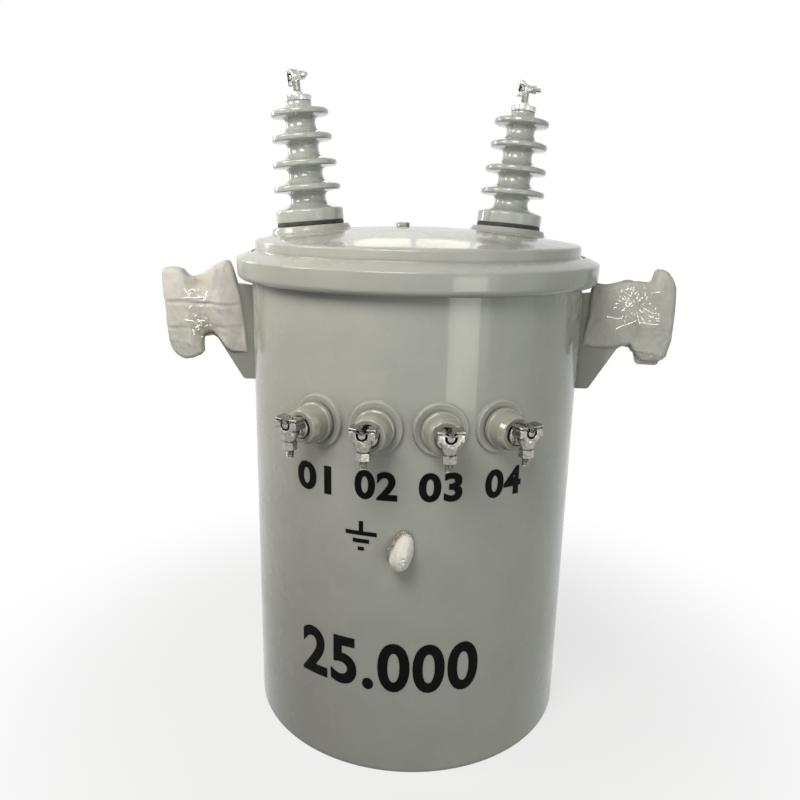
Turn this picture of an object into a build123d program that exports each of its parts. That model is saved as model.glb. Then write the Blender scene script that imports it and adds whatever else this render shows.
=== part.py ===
"""Single-phase pole mounted distribution transformer.

Frame: millimetres, +Z up, origin at the centre of the tank's bottom rim.
The low-voltage side faces -Y and the pole side faces +Y.
Azimuths are measured from the low-voltage side (-Y) towards +X.
"""
from build123d import *
import os
from math import cos, radians, sin, sqrt

# Tank
TANK_R = 215.0
WALL = 3.0
SKIRT_DEPTH = 22.0
BOTTOM_THICKNESS = 4.0
LIP_R = 230.0
LIP_TOP = 600.0
CORE_R = 184.0
CORE_TOP = 540.0

# Cover, its gasket and plug
GASKET_TOP = 605.0
COVER_SHEET = 2.5
DOME_TOP = 659.0
DOME_EDGE_R = 205.0
DOME_EDGE_Z = 641.0
STEP_R = 210.0
SLOPE_TOP_Z = 626.2
SLOPE_BOTTOM_Z = 617.2
PLUG_X = -20.0
PLUG_FLATS = 15.0
PLUG_TOP = 664.0

# Clamp band round the rim, split at the back
BAND_R = 234.0
BAND_SHEET = 2.5
BAND_BOTTOM = 592.0
BAND_FOOT_ROUNDING = 8.0
BAND_LIP_R = 219.0
BAND_TOP_R = 215.0
BAND_GAP = 12.0
EAR_THICKNESS = 6.0
EAR_OUT = 262.0
EAR_LOW = 599.0
EAR_HIGH = 613.0
BAND_BOLT_R = 4.0
BAND_BOLT_FLATS = 13.0
BAND_BOLT_Y = 250.0

# High-voltage bushings: half spacing, set back behind the axis, turn of the pair, outward lean
HV_HALF_SPACING = 136.5
HV_SETBACK = 38.5
HV_TURN = 13.9
HV_LEAN = 5.5
HV_SEAT_R = 50.0
HV_SEAT_Z = 657.5
HV_GASKET = 5.0
HV_FLANGE_R = 44.0
HV_FLANGE_HEIGHT = 17.0
HV_SHED_HEIGHTS = (42.1, 72.3, 104.0, 134.4)
HV_SHED_RADII = (43.5, 41.5, 38.4, 36.8)
HV_NECK_RADII = (22.8, 21.8, 19.7, 18.7, 16.3)
HV_PORCELAIN_TOP = 148.4
HV_SHANK_R = 21.0
HV_SHANK_DEPTH = 15.0
HV_STUD_R = 5.2
HV_CAP_R = 17.0
HV_CAP_SHEET = 2.0
HV_CAP_RIM = 5.0
HV_NUT_FLATS = 13.0
HV_NUT_HEIGHT = 10.0
HV_CLAW_Z = 178.0
HV_CLAW_SCALE = 0.68
HV_LEFT_CLAW_TURN = -40.0

# Low-voltage bushings
LV_AZIMUTHS = (-28.4, -9.6, 9.6, 28.4)
LV_Z = 446.0
LV_PAD_R = 31.0
LV_PAD_FACE = 218.0
LV_GASKET = 1.5
LV_GASKET_R = 22.2
LV_FLANGE_R = 23.0
LV_BODY_R = 21.2
LV_NOSE_R = 18.7
LV_SHANK_R = 16.0
LV_SHANK_DEPTH = 14.0
LV_STUD_R = 8.0
LV_COLLAR_R = 11.3
LV_RECESS_R = 13.2
LV_RECESS_Z = 26.0
LV_FRONT = 32.0
LV_CLAW_BACK = 41.0

# Claw terminal: a U-shaped body and a T-headed bolt that is pulled down into it
CLAW_DEPTH = 17.0
CLAW_HALF = 14.4
CLAW_TOP = 12.8
CLAW_BOTTOM = -2.2
SLOT_HALF = 6.2
SLOT_BOTTOM = 2.4
KEEPER_HALF = 4.1
KEEPER_BOTTOM = 4.2
WING_HALF = 15.0
WING_BOTTOM = 13.2
WING_TOP = 16.6
KEEPER_GROOVE = 9.6
HUB_R = 9.2
HUB_FOOT_R = 6.4
HUB_BOTTOM = -10.8
CLAW_NUT_FLATS = 14.5
CLAW_NUT_BOTTOM = -20.0
CLAW_BOLT_R = 4.2
CLAW_BOLT_END = -29.0

# Lifting lugs and their foam wraps
LUG_THICKNESS = 8.0
FOAM_THICKNESS = 46.0

# Pole hangers: 5/8 in bolts, 11 1/4 in apart
BOLT_SPACING = 285.75
UPPER_BOLT_Z = 498.0
BOLT_SLOT = 17.5
KEYHOLE_R = 16.7
KEYHOLE_DROP = 34.0
HANGER_HALF = 51.0
HANGER_FACE_Y = 265.0
HANGER_PLATE = 6.35
UPPER_HANGER_SPAN = (-78.0, 34.0)
LOWER_HANGER_SPAN = (-46.0, 66.0)

# Ground terminal
GROUND_AZIMUTH = -1.3
GROUND_Z = 299.0
GROUND_PAD_R = 13.0
GROUND_PAD_FACE = 223.0
GROUND_WASHER_R = 11.0
GROUND_FLATS = 16.0
GROUND_BOLT_HEAD = 8.0
GROUND_FOAM_HALF = 13.5
GROUND_FOAM_HEIGHT = 46.0
GROUND_FOAM_LEAN = 12.0
GROUND_FOAM_OUT = 246.0

CLEAR = 1.0
ABOUT_Y = Rot(-90, 0, 0)


def section(corners, plane=Plane.XZ):
    """Closed face in a plane, from rows of (first, second, corner rounding)."""
    points = [plane.from_local_coords((first, second, 0)) for first, second, _ in corners]
    roundings = [rounding for _, _, rounding in corners]
    return make_face(FilletPolyline(*points, radius=roundings, close=True))


def turned(corners):
    """Solid of revolution about Z, from rows of (radius, height, corner rounding)."""
    return revolve(section(corners), Axis.Z)


def tube(outer, inner, bottom, top):
    """Plain ring about Z."""
    return turned([(inner, bottom, 0), (outer, bottom, 0), (outer, top, 0), (inner, top, 0)])


def hexagon(across_flats, height):
    """Hexagonal nut blank standing on the local origin, its top corners turned off."""
    blank = extrude(RegularPolygon(across_flats / 2, 6, major_radius=False), height)
    chamfer_cone = turned([(0, 0, 0), (across_flats * 0.6, 0, 0), (across_flats * 0.6, height * 0.82, 0),
                           (across_flats * 0.47, height, 0), (0, height, 0)])
    return blank & chamfer_cone


def both_sides(corners):
    """Right half of a symmetric outline, completed with its mirror image."""
    return corners + [(-first, second, rounding) for first, second, rounding in reversed(corners)]


def scaled(corners, size):
    """Outline rows at another size."""
    return [(first * size, second * size, rounding * size) for first, second, rounding in corners]


def wall_place(azimuth, height, radius):
    """Placement on the tank wall: local Z points out of the tank and local Y points up."""
    angle = radians(azimuth)
    outward = (sin(angle), -cos(angle), 0)
    sideways = (cos(angle), sin(angle), 0)
    origin = (radius * outward[0], radius * outward[1], height)
    return Plane(origin=origin, x_dir=sideways, z_dir=outward)


def hv_place(side):
    """Seat of a high-voltage bushing; side is -1 on the left and +1 on the right.

    Local Z leans outward by HV_LEAN and local X points to the right.
    """
    turn = radians(HV_TURN)
    x = side * HV_HALF_SPACING * cos(turn) - HV_SETBACK * sin(turn)
    y = side * HV_HALF_SPACING * sin(turn) + HV_SETBACK * cos(turn)
    reach = sqrt(x * x + y * y)
    lean = radians(HV_LEAN)
    axis = Vector(sin(lean) * x / reach, sin(lean) * y / reach, cos(lean))
    right = Vector(1, 0, 0) - axis * axis.X
    return Plane(origin=(x, y, HV_SEAT_Z), x_dir=right, z_dir=axis)


# Tank


def tank_shell():
    """Rolled wall up to its lip, with the embossed pads of the low-voltage bushings."""
    inner = TANK_R - WALL
    lip_bottom = LIP_TOP - WALL
    shell = turned([(inner, 0, 0), (TANK_R, 0, 0.8), (TANK_R, lip_bottom, 0), (inner, lip_bottom, 0)])
    depth = 14.0
    for azimuth in LV_AZIMUTHS:
        place = wall_place(azimuth, LV_Z, LV_PAD_FACE - depth)
        boss = turned([(0, 0, 0), (LV_PAD_R, 0, 0), (LV_PAD_R, depth, 2.5), (0, depth, 0)])
        hollow = turned([(0, -depth, 0), (LV_PAD_R - WALL, -depth, 0), (LV_PAD_R - WALL, depth - WALL, 0),
                         (0, depth - WALL, 0)])
        hole = Cylinder(LV_SHANK_R + CLEAR, 4 * depth)
        shell = shell + place * boss
        shell = shell - place * hollow - place * hole
    return shell


def tank_lip():
    """Flat ring on top of the wall, on which the cover's gasket lies."""
    inner = TANK_R - WALL
    lip_bottom = LIP_TOP - WALL
    return turned([(inner, lip_bottom, 0), (LIP_R, lip_bottom, 0), (LIP_R, LIP_TOP, 0), (inner, LIP_TOP, 2)])


def bottom_plate():
    """Flat bottom, set up inside the skirt."""
    return Pos(0, 0, SKIRT_DEPTH + BOTTOM_THICKNESS / 2) * Cylinder(TANK_R - WALL, BOTTOM_THICKNESS)


def oil_and_core():
    """Sealed filling: stands for the core, the coils and the oil together."""
    floor = SKIRT_DEPTH + BOTTOM_THICKNESS
    return turned([(0, floor, 0), (CORE_R, floor, 6), (CORE_R, CORE_TOP, 6), (0, CORE_TOP, 0)])


# Cover


def dome_height(radius):
    """Height of the dome's outer surface at a radius: a shallow parabola."""
    return DOME_TOP - (DOME_TOP - DOME_EDGE_Z) * (radius / DOME_EDGE_R) ** 2


def shoulder_height(radius):
    """Height of the cover's sloping shoulder at a radius."""
    fall = (SLOPE_TOP_Z - SLOPE_BOTTOM_Z) / (LIP_R - STEP_R)
    return SLOPE_BOTTOM_Z + fall * (LIP_R - radius)


def cover_shell():
    """Pressed lid of one sheet: dome, upright step, sloping shoulder and short skirt."""
    sheet = COVER_SHEET
    inner_r = DOME_EDGE_R - 1
    inner_edge = (inner_r, 0, DOME_EDGE_Z - sheet)
    outer_dome = Bezier((0, 0, DOME_TOP), (DOME_EDGE_R / 2, 0, DOME_TOP), (DOME_EDGE_R, 0, DOME_EDGE_Z))
    outer_side = FilletPolyline((DOME_EDGE_R, 0, DOME_EDGE_Z), (STEP_R, 0, DOME_EDGE_Z - 1.5),
                                (STEP_R, 0, SLOPE_TOP_Z), (LIP_R, 0, SLOPE_BOTTOM_Z),
                                (LIP_R, 0, GASKET_TOP), radius=[3.5, 2.5, 3])
    rim = Line((LIP_R, 0, GASKET_TOP), (LIP_R - sheet, 0, GASKET_TOP))
    inner_side = FilletPolyline((LIP_R - sheet, 0, GASKET_TOP),
                                (LIP_R - sheet, 0, shoulder_height(LIP_R - sheet) - 1.1 * sheet),
                                (STEP_R - sheet, 0, shoulder_height(STEP_R - sheet) - 1.1 * sheet),
                                (STEP_R - sheet, 0, DOME_EDGE_Z - sheet - 1), inner_edge, radius=[1, 4, 1.5])
    inner_dome = Bezier(inner_edge, (inner_r / 2, 0, DOME_TOP - sheet), (0, 0, DOME_TOP - sheet))
    axis = Line((0, 0, DOME_TOP - sheet), (0, 0, DOME_TOP))
    outline = [outer_dome, outer_side, rim, inner_side, inner_dome, axis]
    edges = [edge for line in outline for edge in line.edges()]
    return revolve(make_face(edges), Axis.Z)


def cover():
    """Lid with a flat pressed seat under each high-voltage bushing."""
    lid = cover_shell()
    depth = 12.0
    for side in (-1, 1):
        place = hv_place(side)
        seat = turned([(0, -depth, 0), (HV_SEAT_R + 5, -depth, 0), (HV_SEAT_R, 0, 2.5), (0, 0, 0)])
        hole = Cylinder(HV_SHANK_R + CLEAR, 4 * depth)
        lid = lid + place * seat - place * hole
    return lid


def cover_gasket():
    """Flat rubber ring between the tank lip and the cover's skirt."""
    return tube(LIP_R - 0.5, TANK_R + 2, LIP_TOP, GASKET_TOP)


def cover_band():
    """Clamp band of channel section, split at the back, with an ear on each end."""
    inner = LIP_R + 0.6
    lip_bottom = LIP_TOP - WALL
    ring = turned([(BAND_LIP_R, BAND_BOTTOM, 1), (BAND_R - 1, BAND_BOTTOM, BAND_FOOT_ROUNDING),
                   (BAND_R, shoulder_height(BAND_R) + 1.1 * BAND_SHEET, 3),
                   (BAND_TOP_R, shoulder_height(BAND_TOP_R) + 1.1 * BAND_SHEET, 1),
                   (BAND_TOP_R, shoulder_height(BAND_TOP_R), 0), (inner, shoulder_height(inner), 0),
                   (inner, lip_bottom, 0), (BAND_LIP_R, lip_bottom, 0)])
    gap = Pos(0, BAND_R, GASKET_TOP) * Box(BAND_GAP, 60, 80)
    middle = (EAR_LOW + EAR_HIGH) / 2
    ear_centre = (BAND_GAP + EAR_THICKNESS) / 2
    ear_in = LIP_R + 1.5
    outline = [(ear_in, EAR_LOW, 0), (EAR_OUT, EAR_LOW, 4), (EAR_OUT, EAR_HIGH, 4), (ear_in, EAR_HIGH, 0)]
    ear = extrude(section(outline, Plane.YZ), EAR_THICKNESS / 2, both=True)
    hole = Pos(0, BAND_BOLT_Y, middle) * Rot(0, 90, 0) * Cylinder(BAND_BOLT_R + 0.5, 80)
    return ring - gap + Pos(-ear_centre, 0, 0) * ear + Pos(ear_centre, 0, 0) * ear - hole


def band_bolt():
    """Hexagonal bolt and nut that draw the two ears together."""
    middle = (EAR_LOW + EAR_HIGH) / 2
    outside = BAND_GAP / 2 + EAR_THICKNESS
    shank_end = outside + 11
    shank = Pos(0, 0, (shank_end - outside) / 2) * Cylinder(BAND_BOLT_R, outside + shank_end)
    head = Pos(0, 0, -outside) * Rot(180, 0, 0) * hexagon(BAND_BOLT_FLATS, 5.3)
    nut = Pos(0, 0, outside) * hexagon(BAND_BOLT_FLATS, 6.5)
    return Pos(0, BAND_BOLT_Y, middle) * Rot(0, 90, 0) * (shank + head + nut)


def cover_plug(lid):
    """Small hexagonal plug near the middle of the dome."""
    seat_z = dome_height(PLUG_X) - 1
    return Pos(PLUG_X, 0, seat_z) * hexagon(PLUG_FLATS, PLUG_TOP - seat_z) - lid


# Claw terminal


def claw_body(size):
    """U-shaped band with an ear on each side, open towards local +Y, and the bowl its bolt runs through."""
    outline = both_sides([(5.0, CLAW_BOTTOM, 3.0), (9.9, 2.0, 2.5), (10.4, 4.6, 0.8), (CLAW_HALF, 2.8, 1.4),
                          (CLAW_HALF, CLAW_TOP, 2.0), (SLOT_HALF, CLAW_TOP, 1.2),
                          (SLOT_HALF, SLOT_BOTTOM, 6.0)])
    claw = extrude(section(scaled(outline, size), Plane.XY), CLAW_DEPTH * size / 2, both=True)
    hub = turned(scaled([(0, HUB_BOTTOM, 0), (HUB_FOOT_R, HUB_BOTTOM, 0.8), (HUB_R, -2.5, 4.0),
                         (HUB_R, 1.0, 0.8), (0, 1.0, 0)], size))
    hole = Cylinder(CLAW_BOLT_R * size + 0.2, 60 * size)
    return claw + ABOUT_Y * hub - ABOUT_Y * hole


def claw_bolt(size):
    """T-headed bolt: a tongue in the claw's slot, wings over its arms and a nut under the bowl."""
    right_half = [(KEEPER_HALF, KEEPER_BOTTOM, 4.0), (KEEPER_HALF, WING_BOTTOM, 0.6),
                  (WING_HALF, WING_BOTTOM, 0.9), (WING_HALF - 0.2, WING_TOP, 1.2), (5.8, WING_TOP - 1.4, 2.2)]
    left_half = [(-first, second, rounding) for first, second, rounding in reversed(right_half)]
    outline = right_half + [(0, KEEPER_GROOVE, 1.2)] + left_half
    keeper = extrude(section(scaled(outline, size), Plane.XY), CLAW_DEPTH * size / 2, both=True)
    shank = turned(scaled([(0, CLAW_BOLT_END, 0), (CLAW_BOLT_R, CLAW_BOLT_END, 0.7),
                           (CLAW_BOLT_R, KEEPER_BOTTOM + 2, 0), (0, KEEPER_BOTTOM + 2, 0)], size))
    nut = hexagon(CLAW_NUT_FLATS * size, (HUB_BOTTOM - CLAW_NUT_BOTTOM) * size)
    return keeper + ABOUT_Y * shank + Pos(0, HUB_BOTTOM * size, 0) * Rot(90, 0, 0) * nut


# High-voltage bushings, in local coordinates from the seat on the cover


def hv_gasket():
    """Black rubber ring under the flange."""
    return tube(HV_FLANGE_R - 0.5, HV_SHANK_R, 0, HV_GASKET)


def hv_bushing():
    """Porcelain with a wide flange and four sheds that grow towards the foot.

    The neck flares smoothly into the top of each shed.
    """
    bottom = HV_GASKET
    corners = [(HV_STUD_R, -HV_SHANK_DEPTH, 0), (HV_SHANK_R, -HV_SHANK_DEPTH, 1.5), (HV_SHANK_R, bottom, 0),
               (HV_FLANGE_R, bottom, 1.2), (HV_FLANGE_R, bottom + HV_FLANGE_HEIGHT - 1.5, 3),
               (HV_NECK_RADII[0], bottom + HV_FLANGE_HEIGHT + 5, 10)]
    for number, (height, lip) in enumerate(zip(HV_SHED_HEIGHTS, HV_SHED_RADII)):
        middle = bottom + height
        below = HV_NECK_RADII[number]
        above = HV_NECK_RADII[number + 1]
        rise, flare = (6.5, 7) if number == len(HV_SHED_RADII) - 1 else (8.5, 12)
        corners += [(below, middle - 5.5, 7), (lip, middle - 3.6, 3), (lip, middle + 3.4, 3),
                    (above, middle + rise, flare)]
    top = bottom + HV_PORCELAIN_TOP
    corners += [(HV_NECK_RADII[-1] - 0.3, top, 1), (HV_STUD_R, top, 0)]
    return turned(corners)


def hv_cap():
    """Dished metal cap on the porcelain's top."""
    floor = HV_GASKET + HV_PORCELAIN_TOP
    inside = floor + HV_CAP_SHEET
    rim = inside + HV_CAP_RIM
    return turned([(HV_STUD_R, floor, 0), (HV_CAP_R - 0.6, floor, 1.2), (HV_CAP_R, rim, 0.7),
                   (HV_CAP_R - HV_CAP_SHEET, rim, 0.7), (HV_CAP_R - HV_CAP_SHEET - 0.4, inside, 0.8),
                   (HV_STUD_R, inside, 0)])


def hv_nut():
    """Hexagonal nut that holds the cap down."""
    seat = HV_GASKET + HV_PORCELAIN_TOP + HV_CAP_SHEET
    return Pos(0, 0, seat) * (hexagon(HV_NUT_FLATS, HV_NUT_HEIGHT) - Cylinder(HV_STUD_R, 4 * HV_NUT_HEIGHT))


def hv_terminal(claw_turn):
    """Stud through the porcelain, with a claw on its end."""
    claw_z = HV_GASKET + HV_CLAW_Z
    stud_top = claw_z - SLOT_HALF * HV_CLAW_SCALE - 0.5
    stud = turned([(0, -HV_SHANK_DEPTH - 8, 0), (HV_STUD_R, -HV_SHANK_DEPTH - 8, 1), (HV_STUD_R, stud_top, 0),
                   (0, stud_top, 0)])
    return stud + hv_claw_place(claw_turn) * claw_body(HV_CLAW_SCALE)


def hv_claw_place(claw_turn):
    """Claw frame at the top of the stud: at no turn it opens to the left and its bolt points to the right."""
    angle = radians(claw_turn)
    return Plane(origin=(0, 0, HV_GASKET + HV_CLAW_Z), x_dir=(0, 0, 1), z_dir=(sin(angle), -cos(angle), 0))


# Low-voltage bushings, in local coordinates from the face of the embossed pad


def lv_gasket():
    """Thin rubber ring between the pad and the flange."""
    return tube(LV_GASKET_R, LV_SHANK_R, 0, LV_GASKET)


def lv_bushing():
    """Short porcelain bushing with a stepped flange, a tapered nose and a recess round the stud."""
    flange_top = LV_GASKET + 6
    return turned([(LV_STUD_R, -LV_SHANK_DEPTH, 0), (LV_SHANK_R, -LV_SHANK_DEPTH, 1),
                   (LV_SHANK_R, LV_GASKET, 0), (LV_FLANGE_R, LV_GASKET, 1), (LV_FLANGE_R, flange_top, 1.5),
                   (LV_BODY_R, flange_top + 0.8, 0.6), (LV_BODY_R, LV_FRONT - 8, 6), (LV_NOSE_R, LV_FRONT, 1.8),
                   (LV_RECESS_R, LV_FRONT, 0.6), (LV_RECESS_R, LV_RECESS_Z, 0), (LV_STUD_R, LV_RECESS_Z, 0)])


def lv_terminal():
    """Stud with its collar in the bushing's recess, and a claw on its end that opens upward."""
    back = -LV_SHANK_DEPTH - 6
    collar_top = LV_FRONT + 2
    stud = turned([(0, back, 0), (LV_STUD_R, back, 1), (LV_STUD_R, LV_RECESS_Z, 0),
                   (LV_COLLAR_R, LV_RECESS_Z, 0), (LV_COLLAR_R, collar_top, 1),
                   (LV_STUD_R, collar_top + 0.6, 0.5), (LV_STUD_R, LV_CLAW_BACK, 0), (0, LV_CLAW_BACK, 0)])
    return stud + lv_claw_place() * claw_body(1)


def lv_claw_place():
    """Claw frame in front of the stud."""
    return Pos(0, 0, LV_CLAW_BACK + CLAW_DEPTH / 2)


# Lifting lugs


def lifting_lug(side):
    """Hooked plate welded to the tank wall, with a seat for a sling between its two upper corners."""
    outline = [(TANK_R - 5, 449, 0), (236, 449, 5), (270, 505, 8), (276, 509, 6), (291, 506, 4), (297, 485, 5),
               (325, 484, 6), (331, 500, 8), (331, 597, 8), (322, 606, 7), (311, 605, 5), (306, 588, 8),
               (300, 580, 10), (240, 580, 8), (TANK_R - 5, 577, 0)]
    corners = [(side * x, z, rounding) for x, z, rounding in outline]
    plate = extrude(section(corners), LUG_THICKNESS / 2, both=True)
    return plate - Pos(0, 0, GASKET_TOP / 2) * Cylinder(TANK_R, GASKET_TOP)


def foam_block(side, outline, lug):
    """Packing foam folded over a lifting lug, with the slot that the plate fills."""
    corners = [(side * x, z, rounding) for x, z, rounding in outline]
    return extrude(section(corners), FOAM_THICKNESS / 2, both=True) - lug


def lug_foam_left(lug):
    """Foam on the left lug, with a deep notch in its top."""
    outline = [(231, 487, 4), (234, 554, 6), (242, 578, 6), (252, 607, 6), (284, 602, 5), (291, 588, 4),
               (307, 588, 4), (312, 602, 4), (324, 610, 5), (337, 602, 6), (343, 560, 10), (340, 484, 6),
               (322, 476, 5), (299, 483, 5), (294, 505, 5), (272, 508, 5), (258, 492, 5)]
    return foam_block(-1, outline, lug)


def lug_foam_right(lug):
    """Foam on the right lug, flat on top and turned up at its outer end."""
    outline = [(231, 504, 4), (231, 586, 5), (240, 597, 5), (285, 596, 5), (291, 589, 4), (307, 590, 4),
               (311, 606, 4), (319, 613, 4), (331, 609, 5), (337, 596, 5), (337, 500, 8), (329, 485, 4),
               (300, 487, 5), (295, 506, 5), (272, 510, 5), (250, 505, 4)]
    return foam_block(1, outline, lug)


# Pole hangers


def hanger(bolt_z, span):
    """Channel welded to the back of the tank, cut to fit round the wall, without its bolt hole."""
    low, high = bolt_z + span[0], bolt_z + span[1]
    inner = HANGER_HALF - HANGER_PLATE
    outline = both_sides([(HANGER_HALF, TANK_R - 20, 0), (HANGER_HALF, HANGER_FACE_Y, 9)])
    hollow = both_sides([(inner, TANK_R - 30, 0), (inner, HANGER_FACE_Y - HANGER_PLATE, 3)])
    channel = extrude(section(outline, Plane.XY), high - low) - extrude(section(hollow, Plane.XY), high - low)
    return Pos(0, 0, low) * channel - Pos(0, 0, GASKET_TOP / 2) * Cylinder(TANK_R, GASKET_TOP)


def slot_cutter(centre_z, end_z):
    """Cutter through the hanger's plate: a slot with a round end at centre_z that runs down to end_z."""
    through = 4 * HANGER_PLATE
    round_end = Pos(0, HANGER_FACE_Y, centre_z) * Rot(90, 0, 0) * Cylinder(BOLT_SLOT / 2, through)
    straight = Pos(0, HANGER_FACE_Y, (centre_z + end_z) / 2) * Box(BOLT_SLOT, through, centre_z - end_z)
    return round_end + straight


def hanger_upper():
    """Upper hanger with a keyhole: the bolt head passes the round hole and locks in the slot above."""
    keyhole_z = UPPER_BOLT_Z - KEYHOLE_DROP
    keyhole = Pos(0, HANGER_FACE_Y, keyhole_z) * Rot(90, 0, 0) * Cylinder(KEYHOLE_R, 4 * HANGER_PLATE)
    return hanger(UPPER_BOLT_Z, UPPER_HANGER_SPAN) - slot_cutter(UPPER_BOLT_Z, keyhole_z) - keyhole


def hanger_lower():
    """Lower hanger with a slot that is open at its foot."""
    bolt_z = UPPER_BOLT_Z - BOLT_SPACING
    return hanger(bolt_z, LOWER_HANGER_SPAN) - slot_cutter(bolt_z, bolt_z + 2 * LOWER_HANGER_SPAN[0])


# Ground terminal


def ground_pad():
    """Round boss welded to the tank wall."""
    out = GROUND_PAD_FACE - TANK_R
    place = wall_place(GROUND_AZIMUTH, GROUND_Z, TANK_R)
    boss = turned([(0, -5, 0), (GROUND_PAD_R, -5, 0), (GROUND_PAD_R, out, 1), (0, out, 0)])
    return place * boss - Pos(0, 0, GROUND_Z) * Cylinder(TANK_R, 4 * GROUND_PAD_R)


def ground_terminal():
    """Washer and hexagonal bolt head on the boss."""
    place = wall_place(GROUND_AZIMUTH, GROUND_Z, GROUND_PAD_FACE)
    washer = turned([(0, 0, 0), (GROUND_WASHER_R, 0, 0), (GROUND_WASHER_R, 2.5, 0.6), (0, 2.5, 0)])
    return place * (washer + Pos(0, 0, 2.5) * hexagon(GROUND_FLATS, GROUND_BOLT_HEAD))


def ground_foam(pad, terminal):
    """Lump of packing foam taped over the ground terminal."""
    place = wall_place(GROUND_AZIMUTH, GROUND_Z, TANK_R)
    half_height = GROUND_FOAM_HEIGHT / 2
    outline = both_sides([(GROUND_FOAM_HALF, -half_height, 11), (GROUND_FOAM_HALF, half_height, 11)])
    lump = Rot(0, 0, -GROUND_FOAM_LEAN) * extrude(section(outline, Plane.XY), GROUND_FOAM_OUT - TANK_R)
    wall = Pos(0, 0, GROUND_Z) * Cylinder(TANK_R + CLEAR / 2, 3 * GROUND_FOAM_HEIGHT)
    return place * lump - wall - pad - terminal


def build():
    """Every sub-part by name."""
    lid = cover()
    lug_left = lifting_lug(-1)
    lug_right = lifting_lug(1)
    pad = ground_pad()
    terminal = ground_terminal()
    parts = {
        "tank_shell": tank_shell(),
        "tank_lip": tank_lip(),
        "bottom_plate": bottom_plate(),
        "oil_and_core": oil_and_core(),
        "cover": lid,
        "cover_gasket": cover_gasket(),
        "cover_band": cover_band(),
        "band_bolt": band_bolt(),
        "cover_plug": cover_plug(lid),
        "lifting_lug_left": lug_left,
        "lifting_lug_right": lug_right,
        "lug_foam_left": lug_foam_left(lug_left),
        "lug_foam_right": lug_foam_right(lug_right),
        "hanger_upper": hanger_upper(),
        "hanger_lower": hanger_lower(),
        "ground_pad": pad,
        "ground_terminal": terminal,
        "ground_foam": ground_foam(pad, terminal),
    }
    for name, side, claw_turn in (("left", -1, HV_LEFT_CLAW_TURN), ("right", 1, 0)):
        place = hv_place(side)
        parts[f"hv_gasket_{name}"] = place * hv_gasket()
        parts[f"hv_bushing_{name}"] = place * hv_bushing()
        parts[f"hv_cap_{name}"] = place * hv_cap()
        parts[f"hv_nut_{name}"] = place * hv_nut()
        parts[f"hv_terminal_{name}"] = place * hv_terminal(claw_turn)
        parts[f"hv_claw_bolt_{name}"] = place * hv_claw_place(claw_turn) * claw_bolt(HV_CLAW_SCALE)
    for number, azimuth in enumerate(LV_AZIMUTHS, start=1):
        place = wall_place(azimuth, LV_Z, LV_PAD_FACE)
        parts[f"lv_gasket_{number}"] = place * lv_gasket()
        parts[f"lv_bushing_{number}"] = place * lv_bushing()
        parts[f"lv_terminal_{number}"] = place * lv_terminal()
        parts[f"lv_claw_bolt_{number}"] = place * lv_claw_place() * claw_bolt(1)
    return parts


if __name__ == "__main__":
    os.makedirs("parts", exist_ok=True)
    for node, shape in build().items():
        export_step(shape, f"parts/{node}.step")
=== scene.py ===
"""Dressed model of a single-phase pole mounted transformer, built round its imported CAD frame.

Shapes are worked out in millimetres and put into the meshes in metres.
Azimuths are measured from the low-voltage side (-Y) towards +X, as in the CAD.
"""
import math

import bmesh
import bpy
import numpy as np
from bpy.props import FloatProperty, FloatVectorProperty, PointerProperty, StringProperty
from bpy.types import Operator, Panel, PropertyGroup
from mathutils import Matrix, Vector


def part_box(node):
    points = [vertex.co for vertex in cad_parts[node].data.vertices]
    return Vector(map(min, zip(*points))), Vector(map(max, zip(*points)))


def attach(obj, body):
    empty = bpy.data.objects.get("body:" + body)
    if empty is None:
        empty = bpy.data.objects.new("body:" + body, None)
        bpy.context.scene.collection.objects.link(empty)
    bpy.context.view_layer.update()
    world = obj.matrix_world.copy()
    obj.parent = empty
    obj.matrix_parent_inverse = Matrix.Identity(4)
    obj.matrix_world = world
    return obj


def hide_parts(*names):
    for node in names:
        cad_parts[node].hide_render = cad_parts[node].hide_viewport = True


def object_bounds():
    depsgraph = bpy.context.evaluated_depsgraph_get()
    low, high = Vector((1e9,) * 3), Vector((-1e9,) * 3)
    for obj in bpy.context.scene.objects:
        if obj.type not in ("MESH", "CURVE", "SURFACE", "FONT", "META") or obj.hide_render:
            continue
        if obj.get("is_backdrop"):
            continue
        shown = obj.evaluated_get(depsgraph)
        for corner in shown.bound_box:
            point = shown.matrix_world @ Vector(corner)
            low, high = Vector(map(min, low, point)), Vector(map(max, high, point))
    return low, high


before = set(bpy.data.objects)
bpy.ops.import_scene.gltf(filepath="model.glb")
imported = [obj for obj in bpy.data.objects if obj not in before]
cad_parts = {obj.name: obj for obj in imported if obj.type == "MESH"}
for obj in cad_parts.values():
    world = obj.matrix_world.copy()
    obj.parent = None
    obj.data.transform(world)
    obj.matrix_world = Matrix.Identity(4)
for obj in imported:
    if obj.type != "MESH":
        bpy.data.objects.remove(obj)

bl_info = {
    "name": "Pole Mounted Transformer",
    "version": (1, 0, 0),
    "blender": (4, 5, 0),
    "location": "View3D > Sidebar > Transformer",
    "description": "Dresses the transformer's CAD frame with its visible surfaces and finishes",
    "category": "Object",
}

MM = 0.001
BODY = "root"

# How finely surfaces are divided
TANK_STEPS = 240
BAND_STEPS = 260
BEAD_SIDES = 8
BEAD_STEP = 0.6
THREAD_ROWS = 6

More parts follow.
